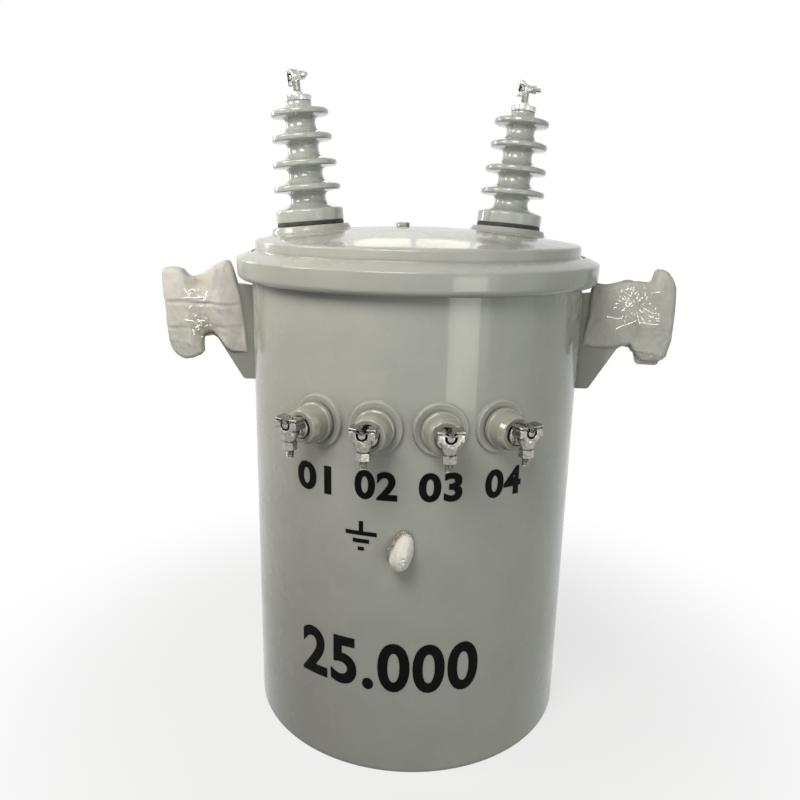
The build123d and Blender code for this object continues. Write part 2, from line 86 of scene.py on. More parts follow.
# Tank and cover, as in the CAD
TANK_R = 215.0
WALL = 3.0
LIP_R = 230.0
LIP_TOP = 600.0
FLOOR_BEAD_Z = 21.6
COVER_SHEET = 2.5
GASKET_TOP = 605.0
DOME_TOP = 659.0
DOME_EDGE_R = 205.0
DOME_EDGE_Z = 641.0
STEP_R = 210.0
SLOPE_TOP_Z = 626.2
SLOPE_BOTTOM_Z = 617.2
BAND_R = 234.0
BAND_BOTTOM = 592.0
BAND_FOOT_ROUNDING = 8.0
BAND_SHEET = 2.5
BAND_GAP = 12.0
BAND_LIP_R = 219.0
EAR_THICKNESS = 6.0
EAR_OUT = 262.0
EAR_LOW = 599.0
EAR_HIGH = 613.0

# High-voltage bushings
HV_LEAN = 5.5
HV_SEAT_R = 50.0
HV_GASKET = 5.0
HV_SPIGOT_R = 21.0
HV_SPIGOT_END = -15.0
HV_FLANGE_R = 44.0
HV_FLANGE_HEIGHT = 17.0
HV_SHED_HEIGHTS = (42.1, 72.3, 104.0, 134.4)
HV_SHED_RADII = (43.5, 41.5, 38.4, 36.8)
HV_NECK_RADII = (22.8, 21.8, 19.7, 18.7, 16.3)
HV_PORCELAIN_TOP = 148.4
HV_STUD_R = 5.2
HV_STUD_END = -23.0
HV_STUD_PITCH = 1.5
HV_CAP_R = 17.0
HV_NUT_FLATS = 13.0
HV_NUT_HEIGHT = 10.0
HV_CLAW_Z = 178.0
HV_CLAW_SCALE = 0.68
HV_KEEPER_PITCH = 1.0
HV_CLAW_TURNS = {"left": -40.0, "right": 0.0}

# Low-voltage bushings
LV_PAD_R = 31.0
LV_PAD_FACE = 218.0
LV_GASKET = 1.5
LV_GASKET_R = 22.2
LV_SPIGOT_R = 16.0
LV_SPIGOT_END = -14.0
LV_FLANGE_R = 23.0
LV_BODY_R = 21.2
LV_NOSE_R = 18.7
LV_STUD_R = 8.0
LV_STUD_END = -20.0
LV_COLLAR_R = 11.3
LV_RECESS_R = 13.2
LV_RECESS_Z = 26.0
LV_FRONT = 32.0
LV_CLAW_BACK = 41.0
LV_KEEPER_PITCH = 1.25

# Claw terminal
CLAW_DEPTH = 17.0
CLAW_HALF = 14.4
CLAW_TOP = 12.8
CLAW_BOTTOM = -2.2
SLOT_HALF = 6.2
SLOT_BOTTOM = 2.4
KEEPER_HALF = 4.1
KEEPER_BOTTOM = 4.2
WING_HALF = 15.0
WING_BOTTOM = 13.2
WING_TOP = 16.6
KEEPER_GROOVE = 9.6
HUB_R = 9.2
HUB_FOOT_R = 6.4
HUB_BOTTOM = -10.8
CLAW_NUT_FLATS = 14.5
CLAW_NUT_BOTTOM = -20.0
CLAW_BOLT_R = 4.2
CLAW_BOLT_END = -29.0

# Weld beads: their widths, and where the rolled wall's seam runs
LUG_BEAD = 8.0
LUG_BEAD_TOP = 576.0
PLAIN_BEAD = 3.4
GROUND_BEAD = 2.8
GROUND_BEAD_R = 13.6
FLOOR_BEAD = 4.0
SEAM_AZIMUTH = 148.0
SEAM_TOP = 592.0

# Foam lump on the ground terminal: its lean, and rows (across, up, radius, depth) of its pits
GROUND_LEAN = 12.0
GROUND_PITS = ((2.5, 3, 1.2, 2.2), (2.8, -1, 0.9, 1.4), (4.5, -13, 1.6, 2.4), (-5, 8, 1.0, 1.0))
GROUND_FOAM_SHIFT = (0.8, 2.5, 0)
GROUND_FOAM_SIZE = (12.2, 21.0, 29.0)
GROUND_FILM_SHIFT = (-1.5, 4.5, 0)
GROUND_FILM_SIZE = (14.5, 23.5, 7.0)

# Markings: rows (text, azimuth, middle height) and the earth sign's bars as (low, high, half width)
TERMINAL_NUMBERS = (("01", -30.8, 376), ("02", -9.5, 378), ("03", 10.2, 378.5), ("04", 31.0, 377.5))
TERMINAL_ASPECT = 1.43
TERMINAL_WEIGHT = 1.7
LARGE_PLACE = (-5.7, 147)
LARGE_ASPECT = 3.47
LARGE_WEIGHT = 2.6
EARTH_AZIMUTH = -14.0
EARTH_BARS = ((318, 333, 2.6), (315.5, 320.5, 19), (306.0, 311.0, 10), (296.5, 301.0, 3.8))
CAP_SHARE = 0.73
STRIP = 2.0
TEXT_GAP = 0.3
TEXT_THICKNESS = 0.14
BAR_GAP = 0.25
BAR_THICKNESS = 0.15


# Shapes: every function works on whole arrays and returns points and faces


def unit(rows):
    """Each row divided by its own length."""
    length = np.linalg.norm(rows, axis=-1, keepdims=True)
    return rows / np.where(length < 1e-9, 1.0, length)


def rounded(corners, count=8):
    """Outline with round corners, from rows of (first, second, rounding).

    At each corner an arc touches both sides. Its points are the arc's centre plus
    (start * sin((1 - t) * turn) + end * sin(t * turn)) / sin(turn), with t from 0 to 1.
    """
    rows = np.asarray(corners, float)
    corner, radius = rows[:, :2], rows[:, 2:]
    back = unit(np.roll(corner, 1, axis=0) - corner)
    ahead = unit(np.roll(corner, -1, axis=0) - corner)
    half = np.arccos(np.clip((back * ahead).sum(1, keepdims=True), -0.999999, 0.999999)) / 2
    centre = corner + unit(back + ahead) * radius / np.sin(half)
    start = (corner + back * radius / np.tan(half) - centre)[:, None]
    end = (corner + ahead * radius / np.tan(half) - centre)[:, None]
    turn = (math.pi - 2 * half)[:, None]
    t = np.linspace(0, 1, count)[None, :, None]
    arcs = centre[:, None] + (start * np.sin((1 - t) * turn) + end * np.sin(t * turn)) / np.sin(turn)
    points = arcs.reshape(-1, 2)
    return points[np.linalg.norm(np.roll(points, -1, axis=0) - points, axis=1) > 1e-4]


def grid(rows, columns, wrap_rows=False, wrap_columns=True):
    """Quads between neighbours in a grid of points that is stored row by row."""
    row = np.arange(rows if wrap_rows else rows - 1)[:, None]
    column = np.arange(columns if wrap_columns else columns - 1)[None, :]
    next_row, next_column = (row + 1) % rows, (column + 1) % columns
    quads = [row * columns + column, row * columns + next_column,
             next_row * columns + next_column, next_row * columns + column]
    return np.stack(quads, axis=-1).reshape(-1, 4)


def capped(rows, columns):
    """Faces of a tube of rows, with a face over its first row and one over its last."""
    faces = grid(rows, columns).tolist()
    faces.append(list(range(columns))[::-1])
    faces.append(list(range((rows - 1) * columns, rows * columns)))
    return faces


def turned(outline, segments=96):
    """Surface of revolution about Z: every outline point (radius, height) goes round a full circle.

    An outline that starts and ends on the axis closes there, and any other closes on itself.
    """
    outline = np.asarray(outline, float)
    turn = np.arange(segments) * math.tau / segments
    radius, height = outline[:, :1], outline[:, 1:]
    points = np.stack([radius * np.cos(turn), radius * np.sin(turn), height + 0 * turn], axis=-1)
    on_axis = outline[0, 0] < 1e-6 and outline[-1, 0] < 1e-6
    return points.reshape(-1, 3), grid(len(outline), segments, wrap_rows=not on_axis)


def plate(outline, depth, edge=0.8, steps=4):
    """Flat body of a closed outline, between -depth / 2 and depth / 2 along Z, with round edges.

    Near each face the outline is drawn in along its normals by edge * (1 - sin(a)) while it
    advances by edge * (1 - cos(a)), with a from 0 to 90 degrees. Both faces are closed.
    """
    area = (outline[:, 0] * np.roll(outline[:, 1], -1) - np.roll(outline[:, 0], -1) * outline[:, 1]).sum()
    outline = outline if area > 0 else outline[::-1]
    ahead = unit(np.roll(outline, -1, axis=0) - outline)
    back = unit(outline - np.roll(outline, 1, axis=0))
    along = unit(ahead + back)
    mitre = 1 / np.maximum((along * ahead).sum(1), 0.4)
    normal = np.stack([along[:, 1], -along[:, 0]], axis=1) * mitre[:, None]
    angle = np.linspace(0, math.pi / 2, steps + 1)
    inset = edge * (1 - np.sin(angle))
    advance = edge * (1 - np.cos(angle))
    inset = np.concatenate([inset, inset[::-1]])
    level = np.concatenate([advance - depth / 2, depth / 2 - advance[::-1]])
    flat = outline[None] - normal[None] * inset[:, None, None]
    heights = np.broadcast_to(level[:, None, None], flat.shape[:2] + (1,))
    points = np.concatenate([flat, heights], axis=2).reshape(-1, 3)
    return points, capped(len(level), len(outline))


def hexagon(flats, height, bore, columns=72):
    """Hexagonal nut about Z from 0 to height, with its corners turned off at both ends.

    Its radius is half the flats over the cosine of the angle from the nearest flat's middle. The
    turned-off cone falls by tan 30 degrees of how far that radius passes 0.94 of half the flats.
    """
    turn = np.arange(columns) * math.tau / columns
    off = (turn + math.pi / 6) % (math.pi / 3) - math.pi / 6
    outer = flats / 2 / np.cos(off)
    face = 0.94 * flats / 2
    fall = math.tan(math.pi / 6) * (outer - face)
    radius = np.stack([bore + 0 * turn, face + 0 * turn, outer, outer, face + 0 * turn, bore + 0 * turn])
    level = np.stack([0 * turn, 0 * turn, fall, height - fall, height + 0 * turn, height + 0 * turn])
    points = np.stack([radius * np.cos(turn), radius * np.sin(turn), level], axis=-1)
    return points.reshape(-1, 3), grid(6, columns, wrap_rows=True)


def threaded(radius, bottom, top, pitch, columns=20):
    """Threaded rod about Z, closed at both ends.

    Its radius is lessened by a groove of 0.6 * pitch * (1 - |wave|), where wave is the triangle
    wave of height / pitch less the turn, and the groove fades within half a pitch of each end.
    """
    rows = int(max((top - bottom) / pitch * THREAD_ROWS, 4))
    level = np.linspace(bottom, top, rows)[:, None]
    turn = np.arange(columns)[None, :] * math.tau / columns
    wave = 2 * np.abs((level / pitch - turn / math.tau) % 1 - 0.5)
    end = np.clip(np.minimum(level - bottom, top - level) / (0.5 * pitch), 0, 1)
    shape = radius - 0.6 * pitch * (1 - wave) * end - 0.08 * pitch * (1 - end)
    points = np.stack([shape * np.cos(turn), shape * np.sin(turn), level + 0 * turn], axis=-1)
    low, high = np.zeros((1, columns, 3)), np.zeros((1, columns, 3))
    low[..., 2], high[..., 2] = bottom, top
    return np.concatenate([low, points, high]).reshape(-1, 3), grid(rows + 2, columns)


def bead(path, outward, width, seed=0):
    """Weld bead: a circle of the bead's width carried along a path, closed at both ends.

    The circle's radius is ruffled by 9% of |sin| of the run over 1.3 mm and by 7% of slow waves,
    and falls to nothing at the ends of an open path.
    """
    closed = np.linalg.norm(path[0] - path[-1]) < 1e-6
    ahead = unit(np.gradient(path, axis=0))
    side = unit(np.cross(ahead, outward))
    up = np.cross(side, ahead)
    run = np.concatenate([[0], np.cumsum(np.linalg.norm(np.diff(path, axis=0), axis=1))])
    slow = np.sin(run / 5.3 + seed) * np.sin(run / 2.1 + 2 * seed)
    ruffle = 0.09 * np.abs(np.sin(run * math.pi / 1.3)) + 0.07 * slow
    end = np.clip(np.minimum(run, run[-1] - run) / width, 0, 1) ** 0.5
    end = np.ones_like(run) if closed else end
    radius = width / 2 * (0.9 + ruffle) * end
    around = (np.arange(BEAD_SIDES) * math.tau / BEAD_SIDES)[None, :, None]
    circle = side[:, None] * np.cos(around) + up[:, None] * np.sin(around)
    points = path[:, None] + circle * radius[:, None, None]
    if closed:
        points = points[:-1]
    return points.reshape(-1, 3), grid(len(points), BEAD_SIDES, wrap_rows=closed)


def waves(points, size, seed, count=22):
    """Smooth random values from about -1 to 1: the mean of plane waves, about size long, whose
    directions and offsets come from the seed, times 2.2."""
    random = np.random.default_rng(seed)
    direction = unit(random.normal(size=(count, 3))) * math.tau / size
    direction = direction * random.uniform(0.7, 1.5, (count, 1))
    return 2.2 * np.sin(points @ direction.T + random.uniform(0, math.tau, count)).mean(axis=-1)


def placed(shell, matrix):
    """Points moved by a 4 x 4 placement, with the same faces."""
    points, faces = shell
    turn = np.array(matrix)[:3, :3]
    return points @ turn.T + np.array(matrix)[:3, 3], faces


def placed_all(shells, matrix):
    """Several shells moved by one placement."""
    return [placed(shell, matrix) for shell in shells]


def raised(height):
    """Placement that moves along local Z."""
    matrix = np.eye(4)
    matrix[2, 3] = height
    return matrix


def axes(origin, right, up, outward):
    """Placement in millimetres whose local X, Y and Z are right, up and outward."""
    matrix = np.eye(4)
    matrix[:3, 0], matrix[:3, 1], matrix[:3, 2], matrix[:3, 3] = right, up, outward, origin
    return matrix


def wall_place(azimuth, height, radius):
    """Placement on the tank wall: local Z points out of the tank and local Y points up."""
    angle = math.radians(azimuth)
    outward = np.array([math.sin(angle), -math.cos(angle), 0])
    right = np.array([math.cos(angle), math.sin(angle), 0])
    origin = radius * outward
    origin[2] = height
    return axes(origin, right, (0, 0, 1), outward)


def node_box(node):
    """Low and high corner of a CAD node's box, in millimetres."""
    return [np.array(corner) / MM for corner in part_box(node)]


def box_middle(node):
    """Middle of a CAD node's box, in millimetres."""
    low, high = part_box(node)
    return (np.array(low) + np.array(high)) / 2 / MM


def azimuth_of(point):
    """Azimuth of a point, in radians."""
    return math.atan2(point[0], -point[1])


def lv_place(number):
    """Placement of a low-voltage bushing on its pad's face, found from its gasket."""
    middle = box_middle(f"lv_gasket_{number}")
    return wall_place(math.degrees(azimuth_of(middle)), middle[2], LV_PAD_FACE)


def hv_place(name):
    """Placement of a high-voltage bushing on its seat, found from its gasket: it leans outward."""
    middle = box_middle(f"hv_gasket_{name}")
    outward = unit(np.array([middle[0], middle[1], 0.0]))
    lean = math.radians(HV_LEAN)
    axis = outward * math.sin(lean) + np.array([0, 0, math.cos(lean)])
    right = unit(np.array([1.0, 0, 0]) - axis * axis[0])
    return axes(middle - axis * HV_GASKET / 2, right, np.cross(axis, right), axis)


def hv_claw_place(name):
    """Claw's placement at the top of a high-voltage stud: at no turn it opens to the left."""
    angle = math.radians(HV_CLAW_TURNS[name])
    c, s = math.cos(angle), math.sin(angle)
    return hv_place(name) @ axes((0, 0, HV_GASKET + HV_CLAW_Z), (0, 0, 1), (-c, -s, 0), (s, -c, 0))


def lv_claw_place(number):
    """Claw's placement in front of a low-voltage stud: it opens upward."""
    return lv_place(number) @ raised(LV_CLAW_BACK + CLAW_DEPTH / 2)


# Pieces


def outward_faces(points, faces):
    """The faces, turned round if the shell's sides face inwards: that shows as a negative volume."""
    quads = np.array([face[:4] for face in faces if len(face) >= 4])
    a, b, c, d = (points[quads[:, corner]] - points.mean(axis=0) for corner in range(4))
    volume = (np.cross(a, b) * c).sum() + (np.cross(a, c) * d).sum()
    return faces if volume > 0 else [face[::-1] for face in faces]


def make_piece(name, shells, material, nodes=(), sharp=38.0, merge=2e-6):
    """Mesh object of one or more closed shells given in millimetres, riding on the tank's body."""
    points, faces, used = [], [], 0
    for shell_points, shell_faces in shells:
        shell_faces = shell_faces.tolist() if isinstance(shell_faces, np.ndarray) else shell_faces
        faces += [[corner + used for corner in face] for face in outward_faces(shell_points, shell_faces)]
        points.append(shell_points)
        used += len(shell_points)
    mesh = bpy.data.meshes.new(name)
    mesh.from_pydata(np.concatenate(points) * MM, [], faces)
    return finish_piece(name, mesh, material, nodes, sharp, merge)


def finish_piece(name, mesh, material, nodes=(), sharp=38.0, merge=2e-6):
    """Object of a mesh, with doubled points merged, smooth shading up to an angle, and its material."""
    shape = bmesh.new()
    shape.from_mesh(mesh)
    bmesh.ops.remove_doubles(shape, verts=shape.verts, dist=merge)
    shape.to_mesh(mesh)
    shape.free()
    mesh.shade_smooth()
    mesh.set_sharp_from_angle(angle=math.radians(sharp))
    mesh.materials.clear()
    mesh.materials.append(material)
    piece = bpy.data.objects.new(name, mesh)
    bpy.context.scene.collection.objects.link(piece)
    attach(piece, BODY)
    if nodes:
        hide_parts(*nodes)
    return piece


def mesh_points(mesh):
    """The mesh's points as rows, in metres."""
    points = np.empty(len(mesh.vertices) * 3, np.float32)
    mesh.vertices.foreach_get("co", points)
    return points.reshape(-1, 3)


def set_mesh_points(mesh, points):
    """Moves the mesh's points to rows of places in metres."""
    mesh.vertices.foreach_set("co", points.astype(np.float32).ravel())
    mesh.update()


def store(piece, name, values):
    """Keeps one value for each of the mesh's points as a named attribute."""
    attribute = piece.data.attributes.new(name, "FLOAT", "POINT")
    attribute.data.foreach_set("value", np.asarray(values, np.float32))


def dressed_copy(name, node, material, bevel=0.7):
    """Copy of a rigid CAD node with its triangles merged and its edges broken by a small bevel."""
    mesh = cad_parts[node].data.copy()
    mesh.name = name
    shape = bmesh.new()
    shape.from_mesh(mesh)
    bmesh.ops.remove_doubles(shape, verts=shape.verts, dist=2e-6)
    bmesh.ops.dissolve_limit(shape, angle_limit=math.radians(0.6), verts=shape.verts, edges=shape.edges)
    shape.to_mesh(mesh)
    shape.free()
    piece = finish_piece(name, mesh, material, (node,), sharp=32.0)
    edge = piece.modifiers.new("broken edges", "BEVEL")
    edge.width = bevel * MM
    edge.segments = 2
    edge.limit_method = "ANGLE"
    edge.angle_limit = math.radians(32)
    edge.harden_normals = True
    return piece


def dress_node(node, material):
    """Gives a CAD node that stays as it is its finish."""
    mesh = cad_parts[node].data
    mesh.materials.clear()
    mesh.materials.append(material)


# Finishes


class Finish:
    """A node material with its Principled shader and small helpers for procedural detail."""

    def __init__(self, name):
        self.material = bpy.data.materials.new(name)
        self.material.use_nodes = True
        self.tree = self.material.node_tree
        self.shader = self.tree.nodes["Principled BSDF"]
        self.place = self.node("ShaderNodeTexCoord").outputs["Object"]

    def node(self, kind, **settings):
        """New node with some of its properties set."""
        made = self.tree.nodes.new(kind)
        for key, value in settings.items():
            setattr(made, key, value)
        return made

    def link(self, source, target):
        """Connects an output to an input."""
        self.tree.links.new(source, target)

    def fixed(self, **values):
        """Constant values set on the shader's own sockets."""
        for key, value in values.items():
            self.shader.inputs[key.replace("_", " ").title().replace("Ior", "IOR")].default_value = value

    def noise(self, size, detail=3.0, stretch=None):
        """Noise whose features are about size millimetres, optionally drawn out along the axes."""
        texture = self.node("ShaderNodeTexNoise")
        texture.inputs["Scale"].default_value = 1 / (size * MM)
        texture.inputs["Detail"].default_value = detail
        place = self.place
        if stretch:
            mapping = self.node("ShaderNodeMapping")
            mapping.inputs["Scale"].default_value = stretch
            self.link(self.place, mapping.inputs["Vector"])
            place = mapping.outputs["Vector"]
        self.link(place, texture.inputs["Vector"])
        return texture.outputs["Fac"]

    def cells(self, size, feature="F1"):
        """Distance pattern of random cells about size millimetres wide."""
        texture = self.node("ShaderNodeTexVoronoi", feature=feature)
        texture.inputs["Scale"].default_value = 1 / (size * MM)
        self.link(self.place, texture.inputs["Vector"])
        return texture.outputs["Distance"]

    def ranged(self, value, low, high, to_low, to_high):
        """Value from low to high carried to the range from to_low to to_high, and clamped."""
        scale = self.node("ShaderNodeMapRange")
        for key, number in (("From Min", low), ("From Max", high), ("To Min", to_low), ("To Max", to_high)):
            scale.inputs[key].default_value = number
        self.link(value, scale.inputs["Value"])
        return scale.outputs["Result"]

    def mixed(self, factor, first, second):
        """Colour between two colours or colour outputs."""
        mix = self.node("ShaderNodeMix", data_type="RGBA")
        self.link(factor, mix.inputs["Factor"])
        for socket, value in ((mix.inputs[6], first), (mix.inputs[7], second)):
            if isinstance(value, bpy.types.NodeSocket):
                self.link(value, socket)
            else:
                socket.default_value = (*value[:3], 1)
        return mix.outputs[2]

    def hollows(self, reach):
        """Ambient occlusion as a value that falls from 1 to 0 in hollows narrower than about reach
        millimetres, used for painted shade.
        """
        shade = self.node("ShaderNodeAmbientOcclusion", samples=6)
        shade.inputs["Distance"].default_value = reach * MM
        return self.ranged(shade.outputs["AO"], 0.35, 0.95, 0, 1)

    def summed(self, first, second):
        """Sum of two values, clamped to 1."""
        total = self.node("ShaderNodeMath", operation="ADD", use_clamp=True)
        self.link(first, total.inputs[0])
        self.link(second, total.inputs[1])
        return total.outputs[0]

    def bumps(self, *heights):
        """Bump from rows of (height output, distance in millimetres), one after the other."""
        normal = None
        for height, distance in heights:
            bump = self.node("ShaderNodeBump")
            bump.inputs["Distance"].default_value = distance * MM
            self.link(height, bump.inputs["Height"])
            if normal:
                self.link(normal, bump.inputs["Normal"])
            normal = bump.outputs["Normal"]
        self.link(normal, self.shader.inputs["Normal"])

    def colour(self, output):
        """Connects the base colour."""
        self.link(output, self.shader.inputs["Base Color"])

    def roughness(self, output):
        """Connects the roughness."""
        self.link(output, self.shader.inputs["Roughness"])


def tone(colour, factor):
    """Colour made lighter or darker."""
    return tuple(channel * factor for channel in colour[:3])


def paint_finish(settings, name="grey enamel", shade=1.0):
    """Grey enamel: faint orange peel, slow waviness, dust, a few scuffs that dull the gloss, and
    painted shade in the corners from ambient occlusion; a shade below 1 darkens it all as painted shade."""
    finish = Finish(name)
    base = tone(settings.colour, shade)
    finish.fixed(coat_weight=0.45, coat_roughness=0.05, specular_ior_level=0.18)
    dust = finish.ranged(finish.noise(55, 5.0), 0.42, 0.72, 0, 1)
    specks = finish.ranged(finish.cells(23), 0.030, 0.045, 0.55, 0)
    # Painted shade: ambient occlusion darkens the dusty enamel to 0.55 in corners and hollows.
    clean = finish.mixed(finish.hollows(7.0), tone(base, 0.55), finish.mixed(dust, base, tone(base, 0.93)))
    finish.colour(finish.mixed(specks, clean, tone(base, 0.55)))
    smooth = settings.roughness
    finish.roughness(finish.ranged(finish.noise(38, 4.0), 0.35, 0.7, smooth, smooth + 0.12))
    finish.bumps((finish.noise(2.4, 1.0), 0.035), (finish.noise(26, 1.0), 0.10))
    return finish.material


def porcelain_finish(name, base):
    """Grey glazed porcelain: wet gloss over an uneven glaze with fine dark iron specks."""
    finish = Finish(name)
    finish.fixed(coat_weight=0.8, coat_roughness=0.03, roughness=0.22)
    cloud = finish.ranged(finish.noise(14, 4.0), 0.35, 0.7, 0, 1)
    specks = finish.ranged(finish.cells(3.6), 0.05, 0.09, 0.5, 0)
    finish.colour(finish.mixed(specks, finish.mixed(cloud, base, tone(base, 0.9)), tone(base, 0.5)))
    finish.bumps((finish.noise(5.5, 2.0), 0.13), (finish.noise(1.6, 1.0), 0.02))
    return finish.material


def rubber_finish():
    """Black gasket rubber with a dusty bloom."""
    finish = Finish("gasket rubber")
    bloom = finish.ranged(finish.noise(7, 5.0), 0.4, 0.75, 0, 1)
    finish.colour(finish.mixed(bloom, (0.012, 0.012, 0.012), (0.05, 0.05, 0.047)))
    finish.roughness(finish.ranged(finish.noise(3, 3.0), 0.3, 0.7, 0.5, 0.75))
    finish.bumps((finish.noise(0.8, 3.0), 0.05))
    return finish.material


def bronze_finish(settings):
    """Tinned cast bronze: grey metal with a sandy cast skin, bright where it is worn, with painted
    shade in its hollows, which ambient occlusion within 2.5 mm finds."""
    finish = Finish("tinned bronze")
    base = settings.bronze_colour
    finish.fixed(metallic=1.0)
    dull = finish.ranged(finish.noise(4.5, 5.0), 0.4, 0.66, 0, 1)
    # Painted shade: the metal darkens to 0.36 in hollows that ambient occlusion finds.
    hollow = finish.hollows(2.5)
    finish.colour(finish.mixed(hollow, tone(base, 0.36), finish.mixed(dull, base, tone(base, 0.6))))
    finish.roughness(finish.ranged(finish.noise(2.2, 4.0), 0.3, 0.7, 0.18, 0.42))
    finish.bumps((finish.noise(2.6, 3.0), 0.16), (finish.noise(0.7, 2.0), 0.03))
    return finish.material


def steel_finish(settings):
    """Bright plated steel with fine turning marks and a little tarnish."""
    finish = Finish("plated steel")
    base = settings.steel_colour
    finish.fixed(metallic=1.0)
    tarnish = finish.ranged(finish.noise(3.5, 4.0), 0.42, 0.7, 0, 1)
    finish.colour(finish.mixed(tarnish, base, tone(base, 0.7)))
    finish.roughness(finish.ranged(finish.noise(1.5, 3.0, (1, 1, 6)), 0.3, 0.7, 0.14, 0.34))
    finish.bumps((finish.noise(1.1, 2.0, (1, 1, 5)), 0.03))
    return finish.material


def foam_finish(base, name="packing foam"):
    """White packing foam: soft closed cells pressed flat at the skin, painted shade in their pits, and some
    grime.
    """
    finish = Finish(name)
    finish.fixed(roughness=0.72, specular_ior_level=0.25)
    grime = finish.ranged(finish.noise(22, 5.0), 0.45, 0.8, 0, 1)
    # Painted shade: the colour darkens to 0.93 towards each cell's middle, as shade in its pit.
    pits = finish.ranged(finish.cells(2.2), 0.0, 0.75, 1, 0)
    finish.colour(finish.mixed(grime, finish.mixed(pits, base, tone(base, 0.93)), tone(base, 0.84)))
    finish.bumps((finish.cells(2.6, "SMOOTH_F1"), 0.22), (finish.noise(1.1, 3.0), 0.10))
    return finish.material


def tape_finish(settings):
    """Clear packing tape: nearly unseen where it lies flat, and painted white along its creases as
    glints, which the mesh carries as the crease attribute; wrinkled film shows a yellow tint between them."""
    finish = Finish("packing tape")
    finish.fixed(roughness=0.12, specular_ior_level=0.7)
    crease = finish.node("ShaderNodeAttribute", attribute_name="crease").outputs["Fac"]
    tint = finish.node("ShaderNodeAttribute", attribute_name="tint").outputs["Fac"]
    # Painted highlight: the tape turns white and opaque along its creases as glints.
    finish.colour(finish.mixed(crease, settings.tape_colour, (0.96, 0.96, 0.93)))
    finish.link(finish.ranged(crease, 0, 1, 0, 0.6), finish.shader.inputs["Metallic"])
    finish.link(finish.summed(finish.ranged(tint, 0, 1, 0.02, 0.42), crease), finish.shader.inputs["Alpha"])
    finish.bumps((finish.noise(2.0, 3.0), 0.2))
    return finish.material


def film_finish():
    """Matt black marking film with patches of dust."""
    finish = Finish("marking film")
    finish.fixed(specular_ior_level=0.06)
    dust = finish.ranged(finish.noise(12, 5.0), 0.5, 0.8, 0, 1)
    finish.colour(finish.mixed(dust, (0.0015, 0.002, 0.0015), (0.007, 0.008, 0.007)))
    finish.roughness(finish.ranged(finish.noise(6, 3.0), 0.3, 0.7, 0.5, 0.65))
    finish.bumps((finish.noise(2.4, 1.0), 0.02))
    return finish.material


def filling_finish():
    """Dark oily steel of the sealed filling."""
    finish = Finish("sealed filling")
    finish.colour(finish.mixed(finish.noise(30, 4.0), (0.05, 0.045, 0.035), (0.09, 0.08, 0.06)))
    finish.roughness(finish.ranged(finish.noise(12, 3.0), 0.3, 0.7, 0.2, 0.45))
    return finish.material


def made_once(name, maker, *settings):
    """The material of that name, made the first time it is asked for."""
    return bpy.data.materials.get(name) or maker(*settings)


def paint():
    """Tank enamel from the paint settings."""
    return made_once("grey enamel", paint_finish, bpy.context.scene.transformer_paint)


def shaded_lug_paint():
    """Tank enamel darkened to 0.72 as painted shade under the foam, on the lifting lugs."""
    return made_once("lug enamel", paint_finish, bpy.context.scene.transformer_paint, "lug enamel", 0.72)


def porcelain(name):
    """High or low porcelain from its settings."""
    colour = getattr(bpy.context.scene.transformer_porcelain, f"{name}_colour")
    label = f"glazed porcelain {name}"
    return made_once(label, porcelain_finish, label, colour)


def rubber():
    """Gasket rubber."""
    return made_once("gasket rubber", rubber_finish)


def bronze():
    """Tinned bronze from the metal settings."""
    return made_once("tinned bronze", bronze_finish, bpy.context.scene.transformer_metal)


def steel():
    """Plated steel from the metal settings."""
    return made_once("plated steel", steel_finish, bpy.context.scene.transformer_metal)


def foam():
    """Packing foam from the packing settings."""
    return made_once("packing foam", foam_finish, bpy.context.scene.transformer_packing.foam_colour)


def ground_foam():
    """Cleaner, whiter foam of the ground terminal."""
    name = "clean packing foam"
    colour = tone(bpy.context.scene.transformer_packing.foam_colour, 1.36)
    return made_once(name, foam_finish, colour, name)


def tape():
    """Packing tape from the packing settings."""
    return made_once("packing tape", tape_finish, bpy.context.scene.transformer_packing)


def film():
    """Marking film."""
    return made_once("marking film", film_finish)


# Tank


def tank_wall_shell():
    """Rolled wall with its turned-out lip: an outline carried round the axis, whose outer radius is
    ruffled by 0.12 mm of slow waves, as a rolled sheet is."""
    inner = TANK_R - WALL
    lip_bottom = LIP_TOP - WALL
    rim = rounded([(inner, 0, 1.2), (TANK_R, 0, 1.2), (TANK_R, lip_bottom, 3), (LIP_R, lip_bottom, 0.8),
                   (LIP_R, LIP_TOP, 0.8), (inner, LIP_TOP, 4)])
    foot = rim[:, 1] < 20
    outside = (rim[:, 0] > TANK_R - 1.5) & foot
    levels = np.linspace(4, lip_bottom - 6, 50)
    wall = np.stack([TANK_R + 0 * levels, levels], axis=1)
    last = np.flatnonzero(outside)[-1] + 1
    outline = np.concatenate([rim[:last], wall, rim[last:]])
    points, faces = turned(outline, TANK_STEPS)
    sheet = (np.abs(np.hypot(points[:, 0], points[:, 1]) - TANK_R) < 0.5) & (points[:, 2] > 20)
    ruffle = 0.12 * waves(points * (1, 1, 0.35), 190, 3)
    points[:, :2] *= 1 + (ruffle * sheet / TANK_R)[:, None]
    return points, faces


def ease(value):
    """Smooth step from 0 to 1: 3 v^2 - 2 v^3 of the clamped value."""
    value = np.clip(value, 0, 1)
    return value * value * (3 - 2 * value)


def patch_shell(rings, height, under, segments=120):
    """Closed round patch: rings of points at the given radii, at height(u, v), with a copy of its
    middle under it. The outline runs from the centre out to the last ring and back below."""
    turn = np.arange(segments) * math.tau / segments
    u, v = rings[:, None] * np.cos(turn), rings[:, None] * np.sin(turn)
    top = np.stack([u, v, height(u, v)], axis=-1)
    below = top[[-1, 0]] - (0, 0, under)
    points = np.concatenate([top, below]).reshape(-1, 3)
    return points, grid(len(rings) + 2, segments)


